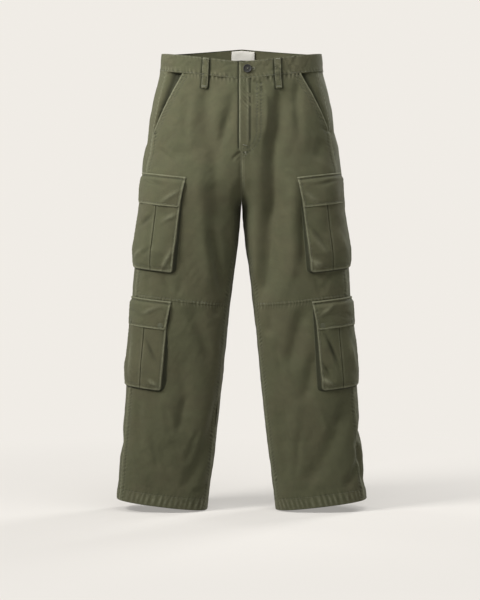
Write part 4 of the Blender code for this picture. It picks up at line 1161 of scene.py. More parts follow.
def front_height(side):
    """Height of a front panel's outer face over the form: its drape, its raised strips and its relief."""
    seed = 100 if side == LEFT else 200

    def height(drop, deg):
        length = arc(drop, deg)
        inner = length - front_inner_length(side, drop)
        outer = front_outer_length(drop) - length
        on_mouth = ease((MOUTH_END_DROP - drop) / 0.006)
        below_fork = ease((drop - CROTCH_DROP) / 0.02)
        knee, up = KNEE_SEAM_DROP - drop, HEM_DROP - drop
        raised = below_fork * felled(inner, SEAM_STITCH_IN) + (1 - on_mouth) * felled(outer, SEAM_STITCH_IN)
        raised += np.where(knee > 0, felled(knee, KNEE_STITCH_UP), 0.0) + felled(up, HEM_STITCH_UP)
        relief = -0.8 * edge_roll(inner) - 0.8 * edge_roll(outer)
        relief += below_fork * stitched(INSEAM_ROW, inner - SEAM_STITCH_IN, drop, seed + 1)
        relief += (1 - on_mouth) * stitched(SIDE_ROW, outer - SEAM_STITCH_IN, drop, seed + 4)
        for row, stitch_in in enumerate(MOUTH_STITCHES):
            relief += on_mouth * stitched(MOUTH_ROW, outer - stitch_in, drop, seed + 8 + row)
        relief += on_mouth * 0.55 * MM * groove(outer - 1.9 * MM, 1.5 * MM)
        relief += stitched(WAIST_ROW, drop, length, seed + 14)
        relief += stitched(KNEE_ROW, np.abs(knee) - 3 * MM, length, seed + 20)
        relief -= 0.3 * MM * groove(knee - KNEE_STITCH_UP, 1.1 * MM) + edge_roll(np.abs(knee), 0.9 * MM)
        relief += hem_ripples(up, length, seed + 26) - edge_roll(up, 1.0 * MM)
        if side == LEFT:
            relief += fly_relief(drop, deg)
        else:
            relief -= ease((FLY_DROP - drop) / 0.01) * beside_lap(drop, deg)
        return drape(side, drop, deg) + fly_lift(side, drop, deg), raised, relief

    return height


def back_inner_deg(drop):
    """The back panel's inner edge: the seat seam, then the inseam."""
    inseam = inseam_deg(drop)
    return np.where(drop <= CROTCH_DROP, 180 - inseam, 360 + inseam)


def back_height(side):
    """Height of a back panel's outer face over the form: its drape, its raised strips and its relief."""
    seed = 300 if side == LEFT else 400

    def height(drop, deg):
        length = arc(drop, deg)
        inner = arc(drop, back_inner_deg(drop)) + SEAM_MEET - length
        outer = length - arc(drop, np.full(np.shape(drop), SIDE_SEAM_DEG)) + SEAM_MEET
        up = HEM_DROP - drop
        raised = felled(up, HEM_STITCH_UP)
        if side == LEFT:
            raised += (1 - ease((drop - CROTCH_DROP + 0.03) / 0.03)) * felled(inner, 8 * MM)
        relief = -0.8 * edge_roll(inner) - 0.8 * edge_roll(outer)
        relief += stitched(SEAT_ROW, inner - 5 * MM, drop, seed + 1)
        relief += stitched(BACK_SIDE_ROW, outer, drop, seed + 4)
        relief += stitched(BACK_WAIST_ROW, drop, length, seed + 7)
        relief += hem_ripples(up, length, seed + 10) - edge_roll(up, 1.0 * MM)
        return drape(side, drop, deg), raised, relief

    return height


def panel_rows(start, end, pitch):
    return spread_across(np.array([start]), np.array([end]), pitch)[0]


def panel(name, node_name, side, drops, start, end, height, stitches, pitch, lap=0.0, fine=0.0):
    """A cut panel of the garment as a thin shell, with its stitches. lap is how far each row's inner edge
    lies from start."""
    lengths = spread_across(start, end, pitch, fine)
    near = np.clip(1 - (lengths - lengths[:, :1]) / LAP_REACH, 0.0, 1.0) ** 2
    lengths = lengths + near * np.atleast_1d(lap)[:, None]
    drop = np.repeat(drops[:, None], lengths.shape[1], axis=1)
    deg = deg_at(drop, lengths)
    base, raised, relief = height(drop, deg)
    out = base + raised + relief - TUCK_IN * ease(1 - (drop + TUCK) / TUCK)
    outer = panel_point(side, drop, deg, out)
    doubled = 1 + ease((HEM_HEIGHT - (HEM_DROP - drop)) / (1 * MM))
    inner = panel_point(side, drop, deg, out - SHELL * doubled)
    uv = np.stack([lengths, -drop], axis=-1)
    edges = np.minimum(lengths - lengths[:, :1], lengths[:, -1:] - lengths)
    # Pale wear along the panel's edges and raised strips, and painted shadow beside the belt loops.
    extra = 0.5 * groove(edges - 1.2 * MM, 1.8 * MM) + 0.15 * raised / FELL
    piece = shell(name, outer, inner, side == RIGHT, TWILL, "twill", uv,
                  wear_and_shade_from(relief, extra - 1.3 * loop_shadow(side, drop, lengths)))
    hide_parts(node_name)
    sewn = stitch_mesh(f"stitches_{node_name}", stitches)


def row_at(side, drops, lengths, height):
    """One line of stitches on a panel, at lengths round for each drop."""
    degrees = deg_at(drops, lengths)
    return line_stitches(*surface_line(side, drops, degrees, height))


def bartack(side, drop, deg, height, down, length=10 * MM, width=2.2 * MM, count=13):
    """A bartack on the cloth that runs along down, a direction in row-frame axes."""
    drops, degrees = np.array([drop]), np.array([float(deg)])
    points, normals = surface_line(side, drops, degrees, height)
    centre = points[0] + normals[0] * 0.2 * MM
    return bar_stitches(centre, normals[0], np.array(down, float), length, width, count)


def front_upper_stitches(side, height):
    """Rows beside the inseam, the side seam and the pocket's mouth and above the knee seam, and the bartack
    at the mouth's foot. The rows stop a few millimetres short of the seams."""
    legs = np.linspace(CROTCH_DROP + 0.008, KNEE_SEAM_DROP - 0.004, 120)
    sides = np.linspace(MOUTH_END_DROP + 0.006, KNEE_SEAM_DROP - 0.004, 150)
    mouth = np.linspace(0.002, MOUTH_END_DROP + 0.004, 60)
    knee = np.full(80, KNEE_SEAM_DROP - KNEE_STITCH_UP)
    first, last = front_inner_length(side, knee[:1])[0], front_outer_length(knee[:1])[0]
    knee_lengths = np.linspace(first + 2 * MM, last - 2 * MM, len(knee))
    stitches = [
        row_at(side, legs, front_inner_length(side, legs) + SEAM_STITCH_IN, height),
        row_at(side, sides, front_outer_length(sides) - SEAM_STITCH_IN, height),
        row_at(side, knee, knee_lengths, height),
    ]
    for stitch_in in MOUTH_STITCHES:
        stitches.append(row_at(side, mouth, front_outer_length(mouth) - stitch_in, height))
    tack_deg = float(mouth_deg(np.array(0.140))) - 3.5
    stitches.append(bartack(side, 0.143, tack_deg, height, (side * 1.0, 0.4, -0.05), 12 * MM))
    return stitches


def fly_stitches(height):
    """The fly's J-stitching, the row beside the middle seam below it, and its bartacks."""
    stitches = []
    for row in (0, 1):
        drops, degrees = front_place(*j_line(row))
        stitches.append(line_stitches(*surface_line(LEFT, drops, degrees, height)))
    fork = np.linspace(FLY_CLEAR_DROP + 0.006, CROTCH_DROP - 0.03, 50)
    stitches.append(row_at(LEFT, fork, front_inner_length(LEFT, fork) + 6 * MM, height))
    for x, z, down in FLY_TACKS:
        drops, degrees = front_place(np.array([x]), np.array([z]))
        stitches.append(bartack(LEFT, drops[0], degrees[0], height, down, 9 * MM))
    return stitches


def make_front_upper(side):
    """The front of one side, from the waist to the knee."""
    name = SIDE_NAMES[side]
    height = front_height(side)
    drops = panel_rows(-TUCK, KNEE_SEAM_DROP, FRONT_PITCH)
    start, end = even_seam_length(drops), front_outer_length(drops)
    stitches = front_upper_stitches(side, height) + (fly_stitches(height) if side == LEFT else [])
    panel(
        f"cloth_front_upper_{name}", f"front_upper_{name}", side, drops, start, end, height,
        stitches, pitch=3.2 * MM, lap=front_inner_length(side, drops) - start, fine=62 * MM,
    )


def make_front_lower(side):
    """The front of one side, from the knee to the hem."""
    name = SIDE_NAMES[side]
    height = front_height(side)
    drops = panel_rows(KNEE_SEAM_DROP, HEM_DROP, FRONT_PITCH)
    legs = np.linspace(KNEE_SEAM_DROP + 0.004, HEM_DROP - 0.004, 130)
    hem = np.full(100, HEM_DROP - HEM_STITCH_UP)
    first, last = front_inner_length(side, hem[:1])[0], front_outer_length(hem[:1])[0]
    stitches = [
        row_at(side, legs, front_inner_length(side, legs) + SEAM_STITCH_IN, height),
        row_at(side, legs, front_outer_length(legs) - SEAM_STITCH_IN, height),
        row_at(side, hem, np.linspace(first, last, len(hem)), height),
    ]
    panel(
        f"cloth_front_lower_{name}", f"front_lower_{name}", side, drops, front_inner_length(side, drops),
        front_outer_length(drops), height, stitches, pitch=2.8 * MM,
    )


def make_back(side):
    """The back of one side, from the waist to the hem."""
    name = SIDE_NAMES[side]
    height = back_height(side)
    drops = panel_rows(-TUCK, HEM_DROP, BACK_PITCH)
    start = arc(drops, np.full(len(drops), SIDE_SEAM_DEG)) - SEAM_MEET
    end = arc(drops, back_inner_deg(drops)) + SEAM_MEET
    hem = np.full(160, HEM_DROP - HEM_STITCH_UP)
    first, last = (float(np.interp(hem[0], drops, edge)) for edge in (start, end))
    stitches = [row_at(side, hem, np.linspace(first, last, len(hem)), height)]
    if side == LEFT:
        seat = np.linspace(0.003, CROTCH_DROP - 0.02, 90)
        edge = arc(seat, back_inner_deg(seat))
        stitches += [row_at(LEFT, seat, edge - inside, height) for inside in (2.5 * MM, 8 * MM)]
    panel(
        f"cloth_back_{name}", f"back_{name}", side, drops, start, end, height, stitches,
        pitch=3.6 * MM,
    )


def make_hip_facing(side):
    """The cloth behind a slanted pocket mouth, flush at the side seam and sunk under the mouth's edge."""
    name = SIDE_NAMES[side]
    gape = GAPE[side]
    drops = panel_rows(-TUCK, FACING_END_DROP, BACK_PITCH)
    seam = SIDE_SEAM_DEG + 0.02
    mouth = np.minimum(mouth_deg(drops), seam - FACING_LEAST_DEG)
    open_share = ease((seam - mouth) / 8)[:, None]
    # The columns: degrees in under the front up to the mouth, then shares of the way to the side seam.
    near_seam = 1 - EDGE_STEPS[7::-1] / FACING_WIDTH
    places = np.concatenate([np.linspace(-12, -1, 5), np.linspace(0, 0.9, 26), near_seam])
    place = np.repeat(places[None, :], len(drops), axis=0)
    span = (seam - mouth)[:, None]
    deg = mouth[:, None] + np.where(place < 0, place, place * span)
    depth = gape * along(HOLLOW[side], np.maximum(place, 0))
    drop = np.repeat(drops[:, None], len(places), axis=1)
    length = arc(drop, deg)
    outer_in = arc(drop, np.full(drop.shape, SIDE_SEAM_DEG)) - length
    out = -2.3 * MM * (1 - open_share) * (place < 0.9) - depth * open_share + drape(side, drop, deg)
    relief = stitched(FACING_ROW, outer_in, drop, 520) - 0.8 * edge_roll(outer_in)
    out += relief
    outer = cloth_point(side, drop, deg, out)
    inner = cloth_point(side, drop, deg, out - POCKET_SHELL)
    uv = np.stack([length, -drop], axis=-1)
    # Painted shade in the pocket's hollow, darkest under the mouth's edge and following HOLLOW's share.
    hollow_shade = 1.1 * along(HOLLOW[side], np.maximum(place, 0)) * open_share
    piece = shell(f"cloth_hip_facing_{name}", outer, inner, side == RIGHT, FACING_TWILL, "facing_twill", uv,
                  wear_and_shade_from(relief, -hollow_shade))
    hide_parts(f"hip_facing_{name}")


# ==== waistband, loops, button and label


def band_lift(side, deg):
    """How far the band's left end stands over its right end at the front."""
    x = side * form_point(np.zeros(np.shape(deg)), deg)[..., 0]
    return np.where(deg > 90, 0.0, MM * along(BAND_OVER if side == LEFT else BAND_BELOW, x))


def band_height(side):
    """Height of the waistband's outer face over the form, as its drape and its seam relief."""

    def height(drop, deg):
        length = arc(drop, deg) * side
        up = -drop
        base = BAND_PROUD + band_lift(side, deg)
        base = base + 0.8 * MM * noise(length, drop, 0.05, 601) + 0.5 * MM * noise(length, drop, 0.018, 602)
        base = base + 1.3 * MM * np.abs(noise(length + 0.7 * drop, drop, 0.020, 603))
        base = base - crease_depth(side, drop, length * side)
        relief = -edge_roll(BAND_HEIGHT - up, 1.3 * MM) - 0.9 * edge_roll(up, 0.8 * MM)
        for row, stitch_up, seed in zip((BAND_FOOT_ROW, BAND_TOP_ROW), BAND_STITCHES_UP, (610, 620)):
            relief += stitched(row, up - stitch_up - 2 * MM, length, seed)
            relief -= 0.3 * MM * groove(up - stitch_up, 1.1 * MM)
        if side == LEFT:
            point = form_point(drop, deg)
            start, end = BUTTONHOLE_X
            aside = np.maximum(np.abs(point[..., 0] - (start + end) / 2) - (end - start) / 2 + 1 * MM, 0.0)
            away = np.hypot(aside, point[..., 2] - BUTTON_Z)
            slit = 0.5 * MM * groove(away - 1.5 * MM, 0.9 * MM) - 1.5 * MM * groove(away, 0.8 * MM)
            relief += np.where(deg < 40, slit, 0.0)
            edge = 0.6 * MM * groove(point[..., 0] - LAP_EDGE_X - 2.2 * MM, 2.0 * MM)
            relief += np.where(deg < FLY_WITHIN_DEG, edge, 0.0)
        else:
            relief -= beside_lap(drop, deg)
        return base, relief

    return height


def band_stitches(lap):
    """The rows of stitches along the band's foot and top, from its lapped end and from beside it."""
    stitches = []
    for stitch_up in BAND_STITCHES_UP:
        for side, first in ((LEFT, lap + 0.8), (RIGHT, 2.2)):
            degrees = np.linspace(first, 180.0, 260)
            drops = np.full(len(degrees), -stitch_up)
            out = sum(band_height(side)(drops, degrees))
            points = cloth_point(side, drops, degrees, out, True)
            normals = unit(form_normal(drops, degrees) * (side, 1.0, 0.0))
            stitches.append(line_stitches(points, normals))
    return stitches


def make_waistband():
    """One strip round the waist: its left end laps over the front and its right end runs on beneath."""
    lap = float(deg_where(np.array(0.0), 0, LAP_EDGE_X))
    rows = panel_rows(-BAND_HEIGHT, -SEAM_GAP / 2, BAND_PITCH)
    ends = (lap, 180.0, BAND_UNDER_DEG)
    start, middle, under = (arc(rows, np.full(len(rows), deg))[:, None] for deg in ends)
    fine = start + np.linspace(0, BAND_FINE_REACH, 50)
    coarse = fine[:, -1:] + (middle - fine[:, -1:]) * np.linspace(0, 1, 150)[1:]
    left = np.sort(np.concatenate([start + EDGE_STEPS[1:4], fine, coarse], axis=1), axis=1)
    right = middle + (under - middle) * np.linspace(0, 1, 200)[1:]
    outers, inners, uvs, reliefs = [], [], [], []
    for side, lengths in ((LEFT, left), (RIGHT, right)):
        drop = np.repeat(rows[:, None], lengths.shape[1], axis=1)
        deg = deg_at(drop, lengths)
        base, relief = band_height(side)(drop, deg)
        if side == LEFT:
            relief = relief - edge_roll(lengths - start, 1.0 * MM)
        out = base + relief
        outers.append(cloth_point(side, drop, deg, out, True))
        inners.append(cloth_point(side, drop, deg, out - BAND_THICK, True))
        uvs.append(np.stack([lengths if side == LEFT else 2 * middle - lengths, -drop], axis=-1))
        # Painted shadow on the band beside each belt loop.
        reliefs.append(relief - 1.3 * WEAR_AND_SHADE_RELIEF * loop_shadow(side, drop, lengths))
    edge = 0.5 * groove(BAND_HEIGHT + rows[:, None] - 1.2 * MM, 1.5 * MM)
    outer, inner, uv, relief = (np.concatenate(grids, axis=1) for grids in (outers, inners, uvs, reliefs))
    piece = shell("cloth_waistband", outer, inner, False, TWILL, "twill", uv, wear_and_shade_from(relief, edge))
    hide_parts("waistband")
    sewn = stitch_mesh("stitches_waistband", band_stitches(lap) + buttonhole_stitches())


def buttonhole_place(xs):
    """Points and outward directions along the buttonhole's slit, just above the band."""
    drops, degrees = front_place(xs, np.full(len(xs), BUTTON_Z))
    out = BAND_PROUD + band_lift(LEFT, degrees) + 0.4 * MM
    return cloth_point(LEFT, drops, degrees, out, True), unit(form_normal(drops, degrees) * (1.0, 1.0, 0.0))


def buttonhole_stitches():
    """Close cross stitches on both sides of the buttonhole's slit and round its end."""
    near, far = 0.5 * MM, 2.6 * MM
    points, normals = buttonhole_place(np.linspace(*BUTTONHOLE_X, 26))
    groups = [(points + (0, 0, row * near), points + (0.3 * MM, 0, row * far), normals) for row in (-1, 1)]
    turn = np.linspace(-pi / 2, pi / 2, 9)
    spokes = np.stack([np.cos(turn), np.zeros(len(turn)), np.sin(turn)], axis=1)
    end, normal = buttonhole_place(np.array(BUTTONHOLE_X[1:]))
    groups.append((end + spokes * near, end + spokes * far, np.repeat(normal, len(turn), axis=0)))
    return groups


def loop_stitches(side, middle_deg, drops, out, row_in):
    """The rows of stitches along both sides of a belt loop, row_in degrees from its middle line, and its two
    bartacks. out is how far the loop's inner side lies from the form at each drop."""
    stitches = []
    normals = form_normal(drops, np.full(len(drops), middle_deg)) * (side, 1, 1)
    for toward in (-1, 1):
        line = cloth_point(side, drops, middle_deg + toward * row_in, out + LOOP_THICK - 0.25 * MM)
        stitches.append(line_stitches(line[2:-3], normals[2:-3]))
    for drop_at in LOOP_TACK_DROPS:
        k = int(np.argmin(np.abs(drops - drop_at)))
        tack_out = out[k] + LOOP_THICK + 0.2 * MM
        centre = cloth_point(side, drops[k : k + 1], np.array([middle_deg]), tack_out)[0]
        along_band = np.cross((0.0, 0.0, 1.0), normals[k])
        stitches.append(bar_stitches(centre, normals[k], along_band, 11 * MM, 2.4 * MM, 15))
    return stitches


def make_belt_loop(name, side, middle_deg):
    """A belt loop: folded over the band's top edge, arched over the band and tacked below its seam."""
    drops = np.linspace(LOOP_PATH[0][0], LOOP_PATH[-1][0], 75)
    out = along(LOOP_PATH, drops) * MM
    for _ in range(3):
        out[1:-1] = (out[:-2] + out[1:-1] + out[2:]) / 3
    at_end = ease((drops - LOOP_PATH[-1][0] + 4 * MM) / (4 * MM))
    half = LOOP_WIDTH / 2 * (1 - LOOP_END_TAPER * at_end**2)
    shares = np.array([-1, -0.985, -0.95, -0.9, -0.82, -0.72, -0.6, -0.45, -0.3, -0.15])
    shares = np.concatenate([shares, [0.0], -shares[::-1]])
    drop = np.repeat(drops[:, None], len(shares), axis=1)
    across = half[:, None] * shares
    step = np.linalg.norm(form_point(drops, middle_deg + 0.5) - form_point(drops, middle_deg - 0.5), axis=1)
    deg = middle_deg + across / step[:, None]
    inside = half[:, None] - np.abs(across)
    seed = 700 + int(middle_deg) + side
    relief = stitched(LOOP_ROW, inside - 2.4 * MM, drop, seed)
    relief -= 0.35 * MM * groove(inside - LOOP_STITCH_IN, 0.8 * MM) + edge_roll(inside, 0.9 * MM)
    relief += 0.3 * MM * noise(across, drop, 0.009, seed)
    outer = cloth_point(side, drop, deg, out[:, None] + LOOP_THICK + relief)
    inner = cloth_point(side, drop, deg, out[:, None] + 0.1 * MM)
    uv = np.stack([across, -drop], axis=-1)
    piece = shell(f"cloth_belt_loop_{name}", outer, inner, side == RIGHT, TWILL, "twill", uv,
                  wear_and_shade_from(relief, 0.5 * groove(inside - 0.9 * MM, 0.9 * MM)))
    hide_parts(f"belt_loop_{name}")
    row_in = (half - LOOP_STITCH_IN) / step
    sewn = stitch_mesh(f"stitches_belt_loop_{name}", loop_stitches(side, middle_deg, drops, out, row_in))


def turned(name, profile, matrix, material, steps):
    """A round piece turned from (radius, height) rows about the matrix's Z axis."""
    points, faces = [], []
    turns = [2 * pi * i / steps for i in range(steps)]
    for radius, level in profile:
        points += [matrix @ Vector((radius * cos(a), radius * sin(a), level)) for a in turns]
    for ring in range(len(profile) - 1):
        for i in range(steps):
            a, b = ring * steps + i, ring * steps + (i + 1) % steps
            faces.append((a, b, b + steps, a + steps))
    faces.append(tuple(reversed(range(steps))))
    faces.append(tuple(range((len(profile) - 1) * steps, len(profile) * steps)))
    return mesh_object(name, points, faces, material)


def make_button():
    """The waist button: a dished disc with a rim and four sewing holes with crossed threads."""
    deg = float(deg_where(np.array(BUTTON_DROP), 0, BUTTON_X))
    matrix = cloth_frame(LEFT, BUTTON_DROP, deg, BAND_PROUD + float(band_lift(LEFT, np.array(deg))))
    matrix.translation.x = BUTTON_X
    matrix.translation.z = BUTTON_Z
    profile = (
        (1.2, -2.9), (1.2, 0.5), (8.4, 0.5), (9.4, 0.9), (9.9, 1.6), (10.0, 2.3), (9.8, 3.0), (9.3, 3.45),
        (8.7, 3.6), (8.1, 3.5), (7.6, 3.15), (7.2, 2.85), (6.4, 2.7), (5.0, 2.62), (3.4, 2.7), (0.4, 2.8),
    )
    button = turned("button_waist", [(r * MM, h * MM) for r, h in profile], matrix, BUTTON, 48)
    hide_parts("waist_button")
    normal = np.array(matrix.to_3x3() @ Vector((0, 0, 1)))
    starts, ends = [], []
    for a, b in (((-1.5, -1.5), (1.5, 1.5)), ((-1.5, 1.5), (1.5, -1.5))):
        for shift in (-0.3, 0.0, 0.3):
            first = Vector(((a[0] + shift) * MM, a[1] * MM, 2.85 * MM))
            last = Vector(((b[0] + shift) * MM, b[1] * MM, 2.85 * MM))
            starts.append(np.array(matrix @ first))
            ends.append(np.array(matrix @ last))
    group = (np.array(starts), np.array(ends), np.repeat(normal[None, :], len(starts), axis=0))
    stitch_mesh("stitches_button_waist", [group])


def make_label():
    """The bare woven label inside the waistband at the middle of the back."""
    downs = np.linspace(0, 1, 16)
    shares = np.linspace(0, 1, 40)
    drop = np.repeat((-BAND_HEIGHT + LABEL_DOWN + LABEL_HEIGHT * downs)[:, None], len(shares), axis=1)
    x = np.tile(LABEL_X + LABEL_WIDTH * (shares - 0.5), (len(downs), 1))
    step = np.linalg.norm(form_point(drop[:, 0], 180.5) - form_point(drop[:, 0], 179.5), axis=1)[:, None]
    deg = 180 - x / step
    edge = np.minimum(shares, 1 - shares)[None, :] * LABEL_WIDTH
    out = BAND_PROUD - 4.0 * MM + 0.3 * MM * noise(x, drop, 0.012, 801)
    out = out - 0.6 * MM * ease((edge - 2 * MM) / (6 * MM)) * ease(downs[:, None] * 3)
    first = cloth_point(LEFT, drop, deg, out)
    second = cloth_point(LEFT, drop, deg, out - LABEL_THICK)
    uv = np.stack([x, -drop], axis=-1)
    piece = shell("label_waist", second, first, False, LABEL, "label", uv, np.zeros(drop.shape))
    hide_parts("waist_label")


# ==== cargo pockets


def pocket_share(pocket, drop):
    return (drop - pocket.top_drop) / (pocket.end_drop - pocket.top_drop)


def pocket_deg(pocket, drop, across):
    """The angle of a place across metres from the pleat, positive towards the back of the pocket."""
    drop, across = np.broadcast_arrays(drop, across)
    rows, back = np.unique(drop, return_inverse=True)
    share = pocket_share(pocket, rows)
    ends = (pocket.front_x, pocket.pleat_x, pocket.back_y)
    front_x, pleat_x, back_y = (top + (foot - top) * share for top, foot in ends)
    pleat = deg_where(rows, 0, pleat_x)
    front_edge, back_edge = deg_where(rows, 0, front_x), deg_where(rows, 1, back_y)
    back = back.reshape(drop.shape)
    edge = np.where(across < 0, front_edge[back], back_edge[back])
    return pleat[back] + np.abs(across) / pocket.half_width * (edge - pleat[back])


def pocket_depth(pocket, drop):
    """Height of the face's inner side above the leg."""
    return MM * along(pocket.depth, pocket_share(pocket, drop))


def leg_drape(side, drop, deg):
    """The leg's larger folds, which the pockets follow in part."""
    x = form_point(drop, deg)[..., 0]
    return -fold_depth(side, drop, deg, x)


def pocket_point(pocket, side, drop, across, out):
    deg = pocket_deg(pocket, drop, across)
    return cloth_point(side, drop, deg, out + leg_drape(side, drop, deg))


def pocket_line(pocket, side, drops, across, out):
    """Points and outward directions of a line on a pocket's piece, at its heights over the leg."""
    points = pocket_point(pocket, side, drops, across, out)
    return points, form_normal(drops, pocket_deg(pocket, drops, across)) * (side, 1, 1)


def pocket_seed(pocket, side):
    return 900 + (50 if pocket.fastened else 0) + (25 if side == LEFT else 0)


# Slack and creases of single pockets, in millimetres: across from the pleat, positive towards the back, and
# up from the foot of the face or the flap. tilt is in degrees from across, and height is negative for a dent.
Bump = namedtuple("Bump", "across up half_length half_width tilt height")
BUMPS = {
    ("face", "upper", RIGHT): (
        Bump(-36, 128, 18, 5, -35, 3.2),
        Bump(18, 115, 20, 6, -45, -3.2),
        Bump(30, 34, 18, 5, -45, 3.2),
        Bump(8, 45, 16, 5, -60, -2.6),
        Bump(-40, 28, 26, 5, -70, 3.6),
    ),
    ("face", "upper", LEFT): (
        Bump(-42, 20, 16, 7, -40, 5.1),
        Bump(-30, 84, 32, 6, -62, -3.2),
        Bump(-26, 60, 26, 6, -55, 2.6),
        Bump(24, 66, 30, 7, -70, 2.3),
    ),
    ("face", "lower", RIGHT): (
        Bump(26, 66, 44, 5, 88, 4.3),
        Bump(-34, 15, 12, 4, 30, 4.3),
        Bump(-22, 92, 28, 6, 60, -3.9),
    ),
    ("face", "lower", LEFT): (
        Bump(-42, 20, 17, 6, -40, 6.3),
        Bump(-22, 92, 38, 5, -72, -5.4),
        Bump(-38, 46, 18, 4, -70, -3.5),
        Bump(26, 80, 34, 6, -78, 3.5),
    ),
    ("flap", "upper", RIGHT): (
        Bump(-32, 24, 22, 5, -40, 2.7),
        Bump(12, 50, 28, 6, 10, -2.3),
    ),
    ("flap", "upper", LEFT): (
        Bump(-36, 22, 18, 6, -50, 3.1),
        Bump(8, 52, 24, 5, 8, -2.6),
    ),
    ("flap", "lower", RIGHT): (
        Bump(-14, 42, 20, 5, -30, 2.6),
        Bump(26, 30, 20, 6, 20, -2.2),
    ),
    ("flap", "lower", LEFT): (
        Bump(-26, 44, 18, 5, 35, 2.7),
        Bump(16, 26, 20, 6, -15, -2.3),
    ),
}


def bumps(piece, pocket, side, across, up):
    """Height that BUMPS adds to a pocket's face or flap."""
    total = np.zeros(np.broadcast(across, up).shape)
    for bump in BUMPS[piece, pocket.name, side]:
        a, b, tilt = across - bump.across * MM, up - bump.up * MM, radians(bump.tilt)
        lengthwise = (a * cos(tilt) + b * sin(tilt)) / (bump.half_length * MM)
        aside = (b * cos(tilt) - a * sin(tilt)) / (bump.half_width * MM)
        total += bump.height * MM * np.exp(-(lengthwise**2) - aside**2)
    return total


def face_relief(pocket, side, drop, across):
    """Puckers, pinched edges and slack of a pocket's face."""
    seed = pocket_seed(pocket, side)
    inside = pocket.half_width - np.abs(across)
    up = pocket.end_drop - drop
    middle = np.abs(np.abs(across) - pocket.half_width / 2) / (pocket.half_width / 2)
    total = 1.0 * MM * (1 - middle**2) + 1.25 * MM * noise(across, drop, 0.028, seed)
    total += 0.3 * MM * noise(across + 0.6 * drop, drop, 0.012, seed + 1)
    total += 0.45 * MM * np.abs(noise(across - 0.5 * drop, drop, 0.016, seed + 8))
    total += bumps("face", pocket, side, across, up)
    total += 0.8 * MM * groove(inside - 1.6 * MM, 1.5 * MM) - 0.8 * edge_roll(inside, 0.8 * MM)
    total += stitched(FACE_EDGE_ROW, inside - FACE_EDGE_STITCH, drop, seed + 2)
    total += stitched(FACE_FOOT_ROW, up - FACE_FOOT_STITCH, across, seed + 5) - edge_roll(up, 1.0 * MM)
    slack = np.sin(across * 60 * (1 if side == LEFT else -1) + drop * 48)
    total += 0.8 * MM * slack * ease((inside - 6 * MM) / 0.02) * ease(up / 0.04)
    return np.maximum(total, -4 * MM * ease((np.abs(across) - 2 * MM) / (14 * MM)))


def rounded_half(half, radius, up):
    """Half width of an outline whose lower corners are rounded, up above its lower edge."""
    t = np.clip(1 - up / radius, 0.0, 1.0)
    return half - radius * (1 - np.sqrt(np.maximum(1 - t * t, 0.0)))


def face_section(pocket):
    """(across, rise, on top) of the face from its front edge to its back edge, with the inverted pleat."""
    edge = pocket.half_width
    half = np.concatenate([edge - EDGE_STEPS[:9], np.linspace(edge - EDGE_STEPS[9], 3 * MM, 20)])
    lip, fold = 0.55 * MM, PLEAT_HALF_FOLD
    turn = np.linspace(0, pi, 7)
    rolled = [(lip + 0.7 * MM * (1 - sin(a)), 0.7 * MM * (cos(a) - 1)) for a in turn]
    under = [(fold * 0.6, -1.4 * MM), (fold, -1.9 * MM), (fold * 0.6, -2.5 * MM), (lip, -2.6 * MM)]
    front = [(-x, 0.0, 1.0) for x in half] + [(-1.9 * MM, 0.0, 1.0)]
    front += [(-x, rise, 1.0 if rise > -0.7 * MM else 0.0) for x, rise in rolled]
    front += [(-x, rise, 0.0) for x, rise in under]
    return front + [(-x, rise, top) for x, rise, top in reversed(front)]


def face_wear_and_shade(pocket, side, drop, across, half):
    """Where a face is rubbed pale along its edges, the pleat's lips, its lower corners and the tops of its
    bumps, with painted shade in the bumps' dents and along its stitches.
    """
    inside, up = half - np.abs(across), pocket.end_drop - drop
    edge = np.minimum(inside, up)
    lip = np.abs(np.abs(across) - 2.6 * MM)
    wear = 0.95 * groove(edge - 1.3 * MM, 1.9 * MM) + 0.25 * groove(lip, 1.5 * MM)
    wear += bumps("face", pocket, side, across, up) / BUMP_WEAR_AND_SHADE
    wear += 0.9 * groove(np.hypot(inside - 3 * MM, up - 3 * MM), 10 * MM)
    wear -= 0.55 * groove(inside - FACE_EDGE_STITCH, 1.3 * MM) + 0.5 * groove(up - FACE_FOOT_STITCH, 1.3 * MM)
    return wear


def face_stitches(pocket, side, start):
    """The rows of stitches down both edges of a face, from its mouth, and along its foot."""

    def sewn_line(drops, across):
        out = face_relief(pocket, side, drops, across) + pocket_depth(pocket, drops) + POCKET_SHELL
        return line_stitches(*pocket_line(pocket, side, drops, across, out))

    edge = pocket.half_width - FACE_EDGE_STITCH
    down = np.linspace(start, pocket.end_drop - 5 * MM, 70)
    foot = np.full(30, pocket.end_drop - FACE_FOOT_STITCH)
    stitches = [sewn_line(down, np.full(len(down), place)) for place in (-edge, edge)]
    for first, last in ((-edge, -3 * MM), (3 * MM, edge)):
        stitches.append(sewn_line(foot, np.linspace(first, last, len(foot))))
    return stitches


